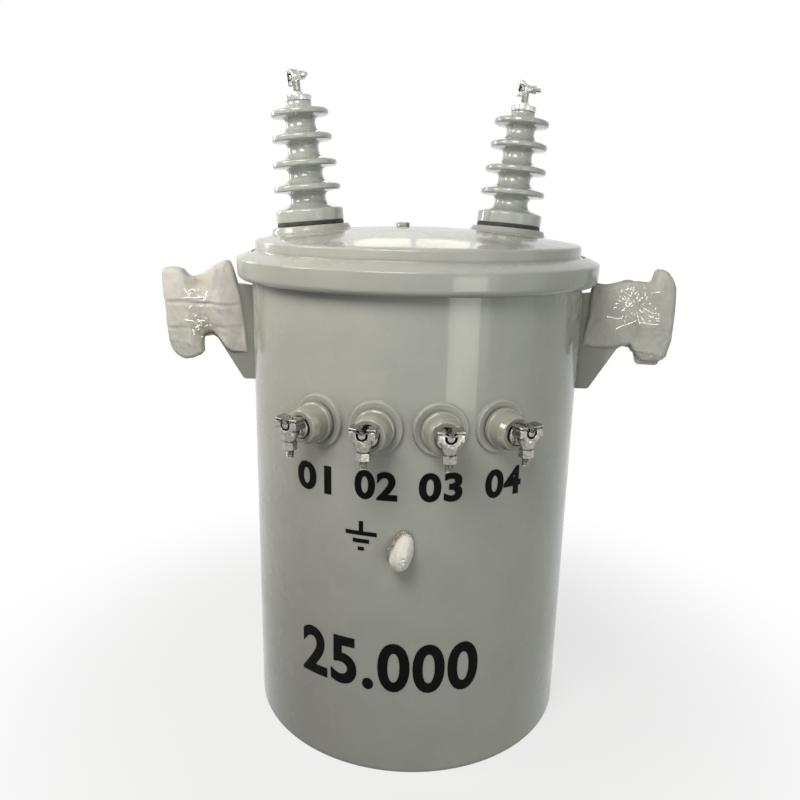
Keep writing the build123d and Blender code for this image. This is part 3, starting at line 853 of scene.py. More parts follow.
def pad_shell(place):
    """Embossed pad of a low-voltage bushing. Its height is that of the round wall, drawn up to the
    flat face where the ease of the distance from the rim, 1.7 mm wide, passes from 0 to 1; a
    0.35 mm lip follows the rim."""
    def height(u, v):
        reach = np.hypot(u, v)
        wall = np.sqrt(TANK_R ** 2 - u ** 2) - LV_PAD_FACE
        rise = ease((LV_PAD_R + 0.9 - reach) / 1.7)
        lip = 0.35 * np.exp(-((reach - LV_PAD_R + 1.9) / 1.0) ** 2)
        return wall * (1 - rise) + lip * rise + 0.03
    rings = np.concatenate([[0, 8, 16, 22, 26], np.linspace(28, LV_PAD_R + 2.4, 26)])
    return placed(patch_shell(rings, height, 2.0), place)


def ground_ring():
    """Path round the foot of the ground pad, on the tank wall."""
    middle = box_middle("ground_pad")
    turn = np.linspace(0, math.tau, 90)
    angle = azimuth_of(middle) + GROUND_BEAD_R * np.cos(turn) / TANK_R
    outward = np.stack([np.sin(angle), -np.cos(angle), 0 * angle], axis=1)
    path = outward * (TANK_R - 0.2)
    path[:, 2] = middle[2] + GROUND_BEAD_R * np.sin(turn)
    path[-1] = path[0]
    return path, outward


def upright_bead(x, y, low, high, outward, seed, width=PLAIN_BEAD):
    """Upright weld bead on the wall."""
    levels = np.arange(low, high, BEAD_STEP)
    path = np.stack([x + 0 * levels, y + 0 * levels, levels], axis=1)
    return bead(path, np.broadcast_to(np.array(outward, float), path.shape), width, seed)


def weld_shells():
    """Beads along both sides of each lug, each hanger's flanges, the ground pad's foot, the seam of
    the rolled wall and the bottom plate under the skirt."""
    shells = []
    for side, node in ((-1, "lifting_lug_left"), (1, "lifting_lug_right")):
        low, high = node_box(node)
        across = high[1] + 1.4
        reach = math.sqrt(TANK_R ** 2 - across ** 2) + 0.4
        for number, hand in enumerate((-1, 1)):
            shells.append(upright_bead(side * reach, hand * across, low[2] + 1, LUG_BEAD_TOP,
                                       (side, 0, 0), side + number, LUG_BEAD))
    for node in ("hanger_upper", "hanger_lower"):
        low, high = node_box(node)
        across = high[0] + 1.0
        depth = math.sqrt(TANK_R ** 2 - across ** 2) + 0.3
        for number, hand in enumerate((-1, 1)):
            shells.append(upright_bead(hand * across, depth, low[2] + 1, high[2] - 1,
                                       (0, 1, 0), 2.5 + number))
    path, outward = ground_ring()
    shells.append(bead(path, outward, GROUND_BEAD, 1.7))
    seam = math.radians(SEAM_AZIMUTH)
    reach = TANK_R - 0.9
    shells.append(upright_bead(reach * math.sin(seam), -reach * math.cos(seam), 3, SEAM_TOP,
                               (math.sin(seam), -math.cos(seam), 0), 5.1))
    turn = np.linspace(0, math.tau, 1000)
    radius = TANK_R - WALL - 0.6
    ring = np.stack([radius * np.cos(turn), radius * np.sin(turn), FLOOR_BEAD_Z + 0 * turn], axis=1)
    ring[-1] = ring[0]
    shells.append(bead(ring, np.broadcast_to(np.array([0, 0, -1.0]), ring.shape), FLOOR_BEAD, 0.4))
    return shells


# Cover and band


def dome_height(radius):
    """Height of the dome at a radius: a shallow parabola."""
    return DOME_TOP - (DOME_TOP - DOME_EDGE_Z) * (radius / DOME_EDGE_R) ** 2


def shoulder_height(radius):
    """Height of the cover's sloping shoulder at a radius."""
    return SLOPE_BOTTOM_Z + (SLOPE_TOP_Z - SLOPE_BOTTOM_Z) / (LIP_R - STEP_R) * (LIP_R - radius)


def cover_shell():
    """Pressed lid: dome, upright step, shoulder and short skirt, carried round the axis as one
    closed sheet, with 0.18 mm of slow waves in the dome."""
    sheet = COVER_SHEET
    inner = DOME_EDGE_R - 1
    across = np.linspace(0, DOME_EDGE_R - 2.0, 60)
    top = np.stack([across, dome_height(across)], axis=1)
    side = rounded([(DOME_EDGE_R - 1, dome_height(DOME_EDGE_R - 1), 0), (STEP_R, DOME_EDGE_Z - 1.5, 3.5),
                    (STEP_R, SLOPE_TOP_Z, 2.5), (LIP_R, SLOPE_BOTTOM_Z, 3), (LIP_R, GASKET_TOP, 0.4),
                    (LIP_R - sheet, GASKET_TOP, 0.4),
                    (LIP_R - sheet, shoulder_height(LIP_R - sheet) - 1.1 * sheet, 1),
                    (STEP_R - sheet, shoulder_height(STEP_R - sheet) - 1.1 * sheet, 4),
                    (STEP_R - sheet, DOME_EDGE_Z - sheet - 1, 1.5),
                    (inner - 4, DOME_EDGE_Z - sheet + 0.3, 0)])
    back = np.linspace(inner - 8, 0, 12)
    under = np.stack([back, dome_height(back) - sheet], axis=1)
    points, faces = turned(np.concatenate([top, side, under]), TANK_STEPS)
    reach = np.hypot(points[:, 0], points[:, 1])
    fade = ease((DOME_EDGE_R - 6 - reach) / 30)
    points[:, 2] += 0.18 * waves(points * (1, 1, 0), 120, 8) * fade
    return points, faces


def seat_shell(place):
    """Flat pressed seat under a high-voltage bushing. Its height is that of the dome, found by
    stepping down along the seat's axis, drawn up to the flat face by the ease of the distance
    from the rim over 5.2 mm, with a broad fillet below it."""
    origin, right, up, axis = (place[:3, column] for column in (3, 0, 1, 2))

    def height(u, v):
        level = 0 * u
        for _ in range(6):
            point = origin + u[..., None] * right + v[..., None] * up + level[..., None] * axis
            level = level + (dome_height(np.hypot(point[..., 0], point[..., 1])) - point[..., 2]) / axis[2]
        reach = np.hypot(u, v)
        rise = ease((HV_SEAT_R + 3.6 - reach) / 5.2)
        foot = ease((HV_SEAT_R + 12 - reach) / 14) * 0.12
        return level * (1 - np.maximum(rise, foot)) + 0.05
    rings = np.concatenate([[0, 15, 30, 40, 44], np.linspace(46, HV_SEAT_R + 12.2, 40)])
    return placed(patch_shell(rings, height, 3.0), place)


def band_shell():
    """Clamp band: its channel section carried round the axis from one side of the gap at the back
    to the other, closed by flat ends."""
    inner = LIP_R + 0.6
    lip_bottom = LIP_TOP - WALL
    top_r = STEP_R + 5
    section = rounded([(BAND_LIP_R, BAND_BOTTOM, 1.1), (BAND_R - 1, BAND_BOTTOM, BAND_FOOT_ROUNDING),
                       (BAND_R, shoulder_height(BAND_R) + 1.1 * BAND_SHEET, 3),
                       (top_r, shoulder_height(top_r) + 1.1 * BAND_SHEET, 1.1),
                       (top_r, shoulder_height(top_r), 0.3), (inner, shoulder_height(inner), 1),
                       (inner, lip_bottom, 1), (BAND_LIP_R, lip_bottom, 0.3)])
    start = math.asin(BAND_GAP / 2 / BAND_R)
    turn = np.linspace(start, math.tau - start, BAND_STEPS)[:, None]
    radius, height = section[:, 0][None], section[:, 1][None]
    points = np.stack([radius * np.sin(turn), radius * np.cos(turn), height + 0 * turn], axis=-1)
    return points.reshape(-1, 3), capped(*points.shape[:2])


def ear_shells():
    """Plates on the band's two ends, through which the bolt runs."""
    outline = rounded([(LIP_R + 1.5, EAR_LOW, 0.5), (EAR_OUT, EAR_LOW, 4), (EAR_OUT, EAR_HIGH, 4),
                       (LIP_R + 1.5, EAR_HIGH, 0.5)])
    middle = (BAND_GAP + EAR_THICKNESS) / 2
    shells = []
    for hand in (-1, 1):
        place = axes((hand * middle, 0, 0), (0, 1, 0), (0, 0, 1), (1, 0, 0))
        shells.append(placed(plate(outline, EAR_THICKNESS, 0.7), place))
    return shells


# Terminals


def both_sides(corners):
    """Right half of a symmetric outline, completed with its mirror image."""
    return corners + [(-first, second, rounding) for first, second, rounding in reversed(corners)]


def scaled(corners, size):
    """Outline rows at another size."""
    return [tuple(value * size for value in row) for row in corners]


ALONG_CLAW = np.array([[1.0, 0, 0, 0], [0, 0, 1, 0], [0, -1, 0, 0], [0, 0, 0, 1]])


def claw_shells(size):
    """Cast claw: a U-shaped band with an ear on each side and round edges, and the bowl that its
    bolt runs through. The slot opens towards local +Y and the bowl's axis is local Y."""
    right = [(5.0, CLAW_BOTTOM, 3.0), (9.9, 2.0, 2.5), (10.4, 4.6, 0.8), (CLAW_HALF, 2.8, 1.4),
             (CLAW_HALF, CLAW_TOP, 2.0), (SLOT_HALF, CLAW_TOP, 1.2), (SLOT_HALF, SLOT_BOTTOM, 6.0)]
    outline = rounded(scaled(both_sides(right), size), 10)
    bowl = rounded(scaled([(0, HUB_BOTTOM, 0), (HUB_FOOT_R, HUB_BOTTOM, 0.9), (HUB_R, -2.5, 4.0),
                           (HUB_R, 1.0, 0.9), (0, 1.0, 0)], size))
    return [plate(outline, CLAW_DEPTH * size, 1.1 * size, 6), placed(turned(bowl, 56), ALONG_CLAW)]


def keeper_shells(size, pitch):
    """T-headed bolt: a tongue in the slot with wings over the claw's arms and a V groove between
    them, the threaded shank and the nut."""
    right = [(KEEPER_HALF, KEEPER_BOTTOM, 4.0), (KEEPER_HALF, WING_BOTTOM, 0.6),
             (WING_HALF, WING_BOTTOM, 0.9), (WING_HALF - 0.2, WING_TOP, 1.3), (5.8, WING_TOP - 1.4, 2.2)]
    head = rounded(scaled(right + [(0, KEEPER_GROOVE, 1.2)] + both_sides(right)[len(right):], size), 9)
    shank = threaded(CLAW_BOLT_R * size, CLAW_BOLT_END * size, (KEEPER_BOTTOM + 2) * size, pitch)
    nut = hexagon(CLAW_NUT_FLATS * size, (HUB_BOTTOM - CLAW_NUT_BOTTOM) * size, CLAW_BOLT_R * size - 0.5)
    return [plate(head, CLAW_DEPTH * size, 1.2 * size, 5), placed(shank, ALONG_CLAW),
            placed(nut, ALONG_CLAW @ raised(CLAW_NUT_BOTTOM * size))]


def seal_shell(radius, thickness, bore, rounding, place):
    """Flat ring under a bushing: a rectangle from the bore to the radius, turned about Z."""
    ring = rounded([(radius, 0, rounding), (radius, thickness, rounding),
                    (bore, thickness, 0), (bore, 0, 0)])
    return placed(turned(ring), place)


def hv_porcelain_outline():
    """Outline of the porcelain: wide flange, four sheds with drooping lips, hollow necks between."""
    bottom = HV_GASKET
    corners = [(HV_STUD_R, HV_SPIGOT_END, 0), (HV_SPIGOT_R, HV_SPIGOT_END, 1.5), (HV_SPIGOT_R, bottom, 0),
               (HV_FLANGE_R, bottom, 1.6), (HV_FLANGE_R, bottom + HV_FLANGE_HEIGHT - 1.5, 3.4),
               (HV_NECK_RADII[0], bottom + HV_FLANGE_HEIGHT + 5, 10)]
    for number, (height, lip) in enumerate(zip(HV_SHED_HEIGHTS, HV_SHED_RADII)):
        middle = bottom + height
        below, above = HV_NECK_RADII[number], HV_NECK_RADII[number + 1]
        rise, flare = (6.5, 7) if number == len(HV_SHED_RADII) - 1 else (8.5, 12)
        corners += [(below, middle - 5.5, 7), (lip, middle - 3.6, 3), (lip, middle + 3.4, 3),
                    (above, middle + rise, flare)]
    top = bottom + HV_PORCELAIN_TOP
    corners += [(HV_NECK_RADII[-1] - 0.3, top, 1.2), (HV_STUD_R, top, 0)]
    return rounded(corners, 10)


def hv_cap_outline():
    """Outline of the dished cap on the porcelain."""
    floor = HV_GASKET + HV_PORCELAIN_TOP
    return rounded([(HV_STUD_R, floor, 0), (HV_CAP_R - 0.6, floor, 1.2), (HV_CAP_R, floor + 7, 0.7),
                    (HV_CAP_R - 2, floor + 7, 0.7), (HV_CAP_R - 2.4, floor + 2, 0.8),
                    (HV_STUD_R, floor + 2, 0)])


def lv_bushing_outline():
    """Outline of the low-voltage bushing: stepped flange, barrel, tapered nose and recess."""
    flange_top = LV_GASKET + 6
    return rounded([(LV_STUD_R, LV_SPIGOT_END, 0), (LV_SPIGOT_R, LV_SPIGOT_END, 1),
                    (LV_SPIGOT_R, LV_GASKET, 0), (LV_FLANGE_R, LV_GASKET, 1.2),
                    (LV_FLANGE_R, flange_top, 1.8), (LV_BODY_R, flange_top + 0.8, 0.6),
                    (LV_BODY_R, LV_FRONT - 8, 6), (LV_NOSE_R, LV_FRONT, 1.8), (LV_RECESS_R, LV_FRONT, 0.7),
                    (LV_RECESS_R, LV_RECESS_Z, 0), (LV_STUD_R, LV_RECESS_Z, 0)], 10)


def lv_stud_outline():
    """Outline of the low-voltage stud, with the collar in the bushing's recess."""
    collar_top = LV_FRONT + 2
    return rounded([(0, LV_STUD_END, 0), (LV_STUD_R, LV_STUD_END, 1), (LV_STUD_R, LV_RECESS_Z, 0),
                    (LV_COLLAR_R, LV_RECESS_Z, 0),
                    (LV_COLLAR_R, collar_top, 1.4), (LV_STUD_R, collar_top + 0.8, 0.6),
                    (LV_STUD_R - 0.6, LV_CLAW_BACK - 4, 3), (LV_STUD_R + 0.9, LV_CLAW_BACK + 1, 1),
                    (0, LV_CLAW_BACK + 1, 0)])


# Packing


def smooth_rows(rows, where, blur):
    """Columns of listed rows read at new places: straight between the rows, then averaged with a
    bell curve blur wide, so that no corner is left."""
    rows = np.asarray(rows, float)
    fine = np.arange(rows[0, 0] - 4 * blur, rows[-1, 0] + 4 * blur, 0.25)
    offsets = np.arange(-3 * blur, 3 * blur + 0.01, 0.25)
    bell = np.exp(-0.5 * (offsets / blur) ** 2)
    bell /= bell.sum()
    columns = []
    for column in range(1, rows.shape[1]):
        plain = np.interp(fine, rows[:, 0], rows[:, column])
        padded = np.pad(plain, len(bell) // 2, mode="edge")
        columns.append(np.interp(where, fine, np.convolve(padded, bell, mode="valid")[:len(fine)]))
    return np.stack(columns, axis=1)


# A wrap's lines are rows of (height, reach), its rows (run, low, high, half thickness), its seams
# (height, slope, start, end, depth, width), its fold (reach, slope, low, high, depth), its tints
# (reach, height, width, height, strength), its creases (reach, height, reach, height) and its
# stars (reach, height, nearest, farthest, count, spread). The strip is the run that tape covers.
WRAP_RUN = 105.0
WRAP_ROWS = 125
WRAP_CROWN = 0.22
WRAP_BACK = 8.0
TAPE_ROWS = 80
TAPE_GAP = 0.4
TAPE_THICKNESS = 0.08
CREASE_GAP = 0.5
LUG_COVER = 5.0
LEFT_WRAP = {
    "side": -1,
    "seed": 21,
    "strip": (34, 72),
    "inner": [(486, 230), (509, 230.7), (531, 234), (555, 236), (575, 240.7), (598, 246.7), (611, 251)],
    "outer": [(474, 321), (481, 327), (491, 334), (502, 336.5), (545, 338), (585, 341), (602, 341)],
    "rows": [(0, 485, 609, 8), (3, 485, 611, 9), (12, 484, 608, 13), (19, 483, 606, 16),
             (25, 488, 604, 18), (32, 499, 600, 19), (39, 508, 597, 18), (44, 513, 593, 17),
             (50, 512, 591, 15), (56, 509, 590, 15), (60, 504, 588, 15), (62, 486, 588, 16),
             (66, 483, 588, 18), (70, 481, 590, 19), (76, 478, 597, 20), (86, 475, 599, 20),
             (94, 473, 599, 20), (101, 473, 599, 20), (105, 474, 598, 19)],
    "seams": [(553, 0.05, 232, 342, 2.0, 3.2), (544, 0.0, 238, 285, 0.6, 1.2),
              (521, 0.0, 232, 275, 1.0, 3.0), (518, 0.04, 304, 338, 1.4, 3.0),
              (489, 0.25, 296, 334, 0.9, 1.6)],
    "fold": None,
    "tints": [(297, 584, 11, 9, 0.7), (289, 522, 12, 14, 1.0)],
    "creases": [(311, 560, 279, 561), (309, 574, 301, 560), (279, 574, 281, 556), (276, 571, 283, 562)],
    "stars": [(294, 563, 2, 14, 12, 1.2), (297, 531, 2, 10, 14, 1.0), (286, 526, 2, 9, 8, 1.0),
              (295, 515, 1, 8, 9, 1.4)],
}
RIGHT_WRAP = {
    "side": 1,
    "seed": 31,
    "strip": (12, 97),
    "inner": [(505, 221), (510, 223), (530, 225.3), (550, 228.9), (570, 229.2), (583, 231.4), (592, 234.5)],
    "outer": [(490, 333), (495, 335), (504, 335.6), (520, 338.2), (573, 338.8), (588, 338), (600, 336),
              (612, 333)],
    "rows": [(0, 509, 592, 9), (3, 508.5, 592, 10), (12, 507, 590, 13), (22, 506.5, 590, 15),
             (31, 506, 593, 16.5), (38, 506, 595, 17.5), (43, 509, 596, 18), (50, 511, 596, 19),
             (57, 512.5, 595, 19.5), (59, 510, 595, 20), (62, 503, 595, 20), (67.5, 495, 594.5, 20),
             (71, 491, 594.5, 20), (75, 488, 594.5, 20), (77.5, 488, 598, 20), (79, 488, 604, 20),
             (82, 487.5, 609, 20), (85, 487.5, 611, 20), (91, 487.5, 611, 20), (97, 487.5, 606.5, 20),
             (100, 490, 603, 19), (103, 493, 598, 19), (105, 494, 592, 18)],
    "seams": [(505, -0.2, 287, 338, 3.6, 1.4), (571, -0.02, 292, 338, 0.6, 1.4),
              (533, 0.0, 290, 338, 0.8, 2.0)],
    "fold": (294, 0.05, 512, 546, 1.6),
    "tints": [(292, 577, 24, 16, 0.3), (290, 533, 5, 12, 0.35)],
    "creases": [(249, 549, 270, 547), (288, 546, 262, 533), (286, 558, 293, 540), (294, 563, 307, 556),
                (304, 581, 315, 584), (291, 543, 317, 541), (292, 552, 299, 543)],
    "stars": [(285, 564, 3, 24, 46, 0.55), (274, 573, 1, 12, 26, 1.4), (309, 553, 1, 8, 10, 1.2)],
}
WRAPS = {"left": LEFT_WRAP, "right": RIGHT_WRAP}


def section_around(sides=46, corners=9, ends=14):
    """Rows (across, up, angle) round a rounded rectangle: the corner centre's place from -1 to 1
    each way, and the angle of the outward normal there."""
    arc = np.linspace(0, math.pi / 2, corners)
    rows = []
    edges = (((1, -1), (1, 1), sides), ((1, 1), (-1, 1), ends),
             ((-1, 1), (-1, -1), sides), ((-1, -1), (1, -1), ends))
    for number, (start, end, steps) in enumerate(edges):
        t = np.linspace(0, 1, steps, endpoint=False)[1:]
        rows.append(np.stack([start[0] + (end[0] - start[0]) * t, start[1] + (end[1] - start[1]) * t,
                              number * math.pi / 2 + 0 * t], axis=1))
        rows.append(np.stack([end[0] + 0 * arc, end[1] + 0 * arc, number * math.pi / 2 + arc], axis=1))
    return np.concatenate(rows)


def line_groove(distance, width):
    """Groove's depth from 0 to 1 at a distance from its line."""
    return np.exp(-(distance / width) ** 2)


def wrap_section(wrap, run):
    """Half thickness, corner radius, half height and middle height of a foam wrap along its run,
    drawn in on a quarter circle over the first 3 mm and the last 7 mm."""
    low, high, half = smooth_rows(wrap["rows"], run, 1.6).T
    near = np.clip(np.minimum(run / 3, (WRAP_RUN - run) / 7), 0, 1)
    draw = 1 - np.sqrt(1 - (1 - near) ** 2)
    half = half * (1 - 0.42 * draw)
    return half, np.minimum(8.0, 0.55 * half), (high - low) / 2 - 0.2 * half * draw, (high + low) / 2


def wrap_ends(wrap, z):
    """Reach of a wrap's tank end and outer end at heights."""
    return (np.interp(z, *np.array(wrap[end], float).T) for end in ("inner", "outer"))


def wrap_dents(wrap, points):
    """Height of a wrap's surface over its plain form: waves of 34, 12 and 5 mm, and for each seam a
    soft groove under a swollen edge, with the foam below it set back."""
    reach, z = np.abs(points[..., 0]), points[..., 2]
    dents = sum(height * waves(points, size, wrap["seed"] + number)
                for number, (height, size) in enumerate(((1.1, 34), (0.5, 12), (0.22, 5))))
    for height, slope, start, end, depth, width in wrap["seams"]:
        gap = z - height - slope * (reach - 285) - 0.8 * np.sin(reach / 6)
        ends = ease((reach - start) / 5) * ease((end - reach) / 5)
        below = ease(-gap / (5 * width))
        above = ease(gap / width) * np.exp(-np.clip(gap, 0, None) / (4 * width))
        dents = dents + depth * ends * (0.5 * above - 0.6 * below - 0.7 * line_groove(gap, 0.6 * width))
    if wrap["fold"]:
        place, slope, start, end, depth = wrap["fold"]
        gap = reach - place - slope * (z - 530)
        ends = ease((z - start) / 6) * ease((end - z) / 8)
        behind = 0.5 * ease(-gap / 2) * np.exp(gap.clip(None, 0) / 10)
        dents = dents - depth * ends * (line_groove(gap, 1.4) + behind)
    return dents


def wrap_points(wrap, run, swell=0.0):
    """Points of a foam wrap on a grid of its run and the way round its section.

    Each section is a rounded rectangle whose half thickness falls by WRAP_CROWN times the square of
    the height from its middle. Its back is pressed flatter, towards WRAP_BACK but to no less than
    0.55 of its front. Its height picks the places of the tank end and the outer end, and the run
    from 0 to WRAP_RUN goes from one to the other. wrap_dents moves the surface out and in.
    """
    half, corner, rise, middle = (row[:, None] for row in wrap_section(wrap, run))
    across, up, angle = section_around().T[:, None, :]
    y = across * (half * (1 - WRAP_CROWN * up ** 2) - corner) + corner * np.cos(angle)
    y = np.where(y > 0, y * np.clip(WRAP_BACK / half, 0.55, 1), y)
    z = middle + up * (rise - corner) + corner * np.sin(angle)
    inner, outer = wrap_ends(wrap, z)
    reach = inner + (outer - inner) * (run / WRAP_RUN)[:, None]
    points = np.stack([wrap["side"] * reach, y, z], axis=-1)
    outward = np.stack([0 * y, np.cos(angle) + 0 * y, np.sin(angle) + 0 * y], axis=-1)
    return points + outward * (wrap_dents(wrap, points) + swell)[..., None]


def seat_under_foam(piece, wrap):
    """Lowers the top edge of a lug's covered outer half to LUG_COVER under its foam's top edge."""
    points = mesh_points(piece.data)
    reach, z = np.abs(points[:, 0]) / MM, points[:, 2] / MM
    inner, outer = wrap_ends(wrap, z)
    run = WRAP_RUN * (reach - inner) / (outer - inner)
    _, _, rise, middle = wrap_section(wrap, run.clip(0, WRAP_RUN))
    points[:, 2] = np.where(run > WRAP_RUN / 2, np.minimum(z, middle + rise - LUG_COVER), z) * MM
    set_mesh_points(piece.data, points)


def front_points(wrap, reach, z, swell):
    """Points on a wrap's front face at places across and up it, by wrap_points's formula."""
    inner, outer = wrap_ends(wrap, z)
    half, corner, rise, middle = wrap_section(wrap, WRAP_RUN * (reach - inner) / (outer - inner))
    up = ((z - middle) / (rise - corner)).clip(-1, 1)
    points = np.stack([wrap["side"] * reach, -half * (1 - WRAP_CROWN * up ** 2), z], axis=-1)
    return points - np.array([0, 1.0, 0]) * (wrap_dents(wrap, points) + swell)[:, None]


def wrap_shell(wrap):
    """Closed foam wrap: the grid of wrap_points with its two ends closed."""
    points = wrap_points(wrap, np.linspace(0, WRAP_RUN, WRAP_ROWS))
    return points.reshape(-1, 3), capped(*points.shape[:2])


def crease_shells(wrap):
    """Creases in the tape, painted white as glints: fine ridges along the wrap's own lines and along
    short strokes that start round a star's middle and run outward, turned at random by its spread."""
    random = np.random.default_rng(wrap["seed"] + 5)
    lines = [np.array(line, float) for line in wrap["creases"]]
    for middle_x, middle_z, nearest, farthest, count, spread in wrap["stars"]:
        for turn in random.uniform(0, math.tau, count):
            start = random.uniform(nearest, farthest)
            way = turn + random.normal(0, spread)
            length = random.uniform(2.5, 6.5)
            x, z = middle_x + start * math.cos(turn), middle_z + start * math.sin(turn)
            lines.append(np.array([x, z, x + length * math.cos(way), z + length * math.sin(way)]))
    shells = []
    for number, (x0, z0, x1, z1) in enumerate(lines):
        t = np.linspace(0, 1, max(8, int(math.hypot(x1 - x0, z1 - z0) / 0.6)))
        bend = 0.5 * np.sin(math.pi * t * random.uniform(1, 3)) * random.uniform(-1, 1)
        path = front_points(wrap, x0 + (x1 - x0) * t + bend, z0 + (z1 - z0) * t - bend, CREASE_GAP)
        shells.append(bead(path, np.broadcast_to(np.array([0, -1.0, 0]), path.shape),
                           random.uniform(0.9, 1.9), number))
    return shells


def tape_tint(wrap, points):
    """Strength of the tape's yellow tint: soft oval spots, uneven by waves of 9 mm."""
    reach, z = np.abs(points[:, 0]), points[:, 2]
    spots = sum(strength * np.exp(-((reach - x) / wide) ** 2 - ((z - y) / high) ** 2)
                for x, y, wide, high, strength in wrap["tints"])
    return (spots * (0.8 + 0.4 * waves(points, 9, 63))).clip(0, 1)


def tape_shells(wrap):
    """Tape over a foam wrap: the wrap's own surface along its strip, TAPE_GAP outside it, and its
    creases. Gives the shells and each point's crease, the mask of its painted glints, and tint."""
    points = wrap_points(wrap, np.linspace(*wrap["strip"], TAPE_ROWS), TAPE_GAP)
    flat = points.reshape(-1, 3)
    creases = crease_shells(wrap)
    count = sum(len(shell_points) for shell_points, _ in creases)
    crease = np.concatenate([np.zeros(len(flat)), np.ones(count)])
    tint = np.concatenate([tape_tint(wrap, flat), np.zeros(count)])
    return [(flat, grid(*points.shape[:2])), *creases], crease, tint


def lump_shell(shift, size, seed, pits=()):
    """Lump over the ground terminal, shifted along the wall: a soft-cornered ball, width * sign *
    |.|^0.86 across and up, and depth * sin of the latitude outward, narrower at its upper left,
    dented by waves of 17 and 6 mm and by round pits. Its size is (half width, half height, depth).
    """
    half_width, half_height, depth = size
    latitude = np.linspace(-0.35, math.pi / 2, 70)[:, None]
    around = np.arange(120)[None] * math.tau / 120
    c, s = np.cos(around), np.sin(around)
    flat = np.abs(np.cos(latitude)) ** 0.72
    x = half_width * flat * np.sign(c) * np.abs(c) ** 0.86
    y = half_height * flat * np.sign(s) * np.abs(s) ** 0.86
    z = depth * np.sin(latitude) + 0 * around
    x = np.where(x < 0, x * (1 - 0.34 * np.clip(y / half_height, -0.4, 1)), x)
    for across, up, radius, deep in pits:
        z = z - deep * np.exp(-((x - across) ** 2 + (y - up) ** 2) / radius ** 2)
    points = np.stack([x, y, z], axis=-1)
    dents = 1.2 * waves(points, 17, seed) + 0.55 * waves(points, 6, seed + 1)
    points = points + unit(points) * dents[..., None] * np.clip(points[..., 2:] / 8, 0, 1)
    faces = grid(*points.shape[:2]).tolist()
    faces.append(list(range(points.shape[1])))
    place = ground_place() @ np.array(Matrix.Translation(shift))
    return placed((points.reshape(-1, 3), faces), place)


def ground_place():
    """Placement on the wall at the ground terminal, turned by the foam's lean."""
    middle = box_middle("ground_pad")
    lean = np.array(Matrix.Rotation(math.radians(-GROUND_LEAN), 4, "Z"))
    return wall_place(math.degrees(azimuth_of(middle)), middle[2], TANK_R) @ lean


def film_shell(outline_low, outline_high, columns, radius, thick):
    """Film on the tank wall between two curves given as (arc, height) functions of t from 0 to 1:
    arc over radius is the azimuth. The sheet has a front and a back and closed edges."""
    t = np.linspace(0, 1, columns)[None]
    across = np.linspace(0, 1, 5)[:, None]
    low, high = outline_low(t), outline_high(t)
    arc = low[0] * (1 - across) + high[0] * across
    height = low[1] * (1 - across) + high[1] * across
    front = on_wall(arc, height, radius + thick)
    back = on_wall(arc, height, radius)[::-1]
    points = np.concatenate([front, back])
    rows = len(points)
    faces = grid(rows, columns, wrap_rows=True, wrap_columns=False).tolist()
    half = rows // 2
    ends = []
    for column in (0, columns - 1):
        loop = [row * columns + column for row in range(rows)]
        for row in range(half - 1):
            ends.append([loop[row], loop[row + 1], loop[rows - 2 - row], loop[rows - 1 - row]])
    return points.reshape(-1, 3), faces + ends


def on_wall(arc, height, radius):
    """Points on a cylinder about the axis: azimuth is arc over the tank's radius."""
    azimuth = arc / TANK_R
    return np.stack([radius * np.sin(azimuth), -radius * np.cos(azimuth), height + 0 * azimuth], axis=-1)


# Markings


def wrapped_text(name, text, width, cap_height, azimuth, middle, weight):
    """Flat text made a mesh, cut into strips STRIP wide, brought to its width and height and laid on
    the tank wall: its x becomes the arc along the wall and its y the height."""
    curve = bpy.data.curves.new(name, "FONT")
    curve.body = text
    curve.size = cap_height * MM / CAP_SHARE
    curve.offset = weight * MM
    curve.space_character = 1.08
    curve.resolution_u = 6
    holder = bpy.data.objects.new(name, curve)
    bpy.context.scene.collection.objects.link(holder)
    depsgraph = bpy.context.evaluated_depsgraph_get()
    mesh = bpy.data.meshes.new_from_object(holder.evaluated_get(depsgraph))
    bpy.data.objects.remove(holder)
    shape = bmesh.new()
    shape.from_mesh(mesh)
    xs = mesh_points(mesh)[:, 0].astype(float)
    for cut in np.arange(xs.min() + STRIP * MM, xs.max(), STRIP * MM):
        everything = shape.verts[:] + shape.edges[:] + shape.faces[:]
        bmesh.ops.bisect_plane(shape, geom=everything, dist=1e-7, plane_co=(cut, 0, 0),
                               plane_no=(1, 0, 0))
    bmesh.ops.remove_doubles(shape, verts=shape.verts, dist=1e-7)
    bmesh.ops.recalc_face_normals(shape, faces=shape.faces)
    if sum(face.normal.z * face.calc_area() for face in shape.faces) < 0:
        bmesh.ops.reverse_faces(shape, faces=shape.faces)
    shape.to_mesh(mesh)
    shape.free()
    flat = mesh_points(mesh) / MM
    low, high = flat.min(axis=0), flat.max(axis=0)
    flat = (flat - (low + high) / 2) * (width / (high - low)[0], cap_height / (high - low)[1], 1)
    arc = flat[:, 0] + math.radians(azimuth) * TANK_R
    set_mesh_points(mesh, on_wall(arc, flat[:, 1] + middle, TANK_R + TEXT_GAP) * MM)
    return mesh


def mark_piece(name, meshes):
    """One piece of several wrapped meshes, given the film's thickness by Solidify."""
    shape = bmesh.new()
    for mesh in meshes:
        shape.from_mesh(mesh)
    joined = bpy.data.meshes.new(name)
    shape.to_mesh(joined)
    shape.free()
    piece = finish_piece(name, joined, film(), sharp=30, merge=1e-7)
    thick = piece.modifiers.new("film thickness", "SOLIDIFY")
    thick.thickness = TEXT_THICKNESS * MM
    thick.offset = 1.0
    return piece


def bar_shell(low, high, half):
    """Upright-sided bar of the earth sign on the wall: from low to high and half wide each way."""
    arc = math.radians(EARTH_AZIMUTH) * TANK_R
    return film_shell(lambda t: (arc - half + 2 * half * t, low + 0 * t),
                      lambda t: (arc - half + 2 * half * t, high + 0 * t),
                      12, TANK_R + BAR_GAP, BAR_THICKNESS)


# Settings


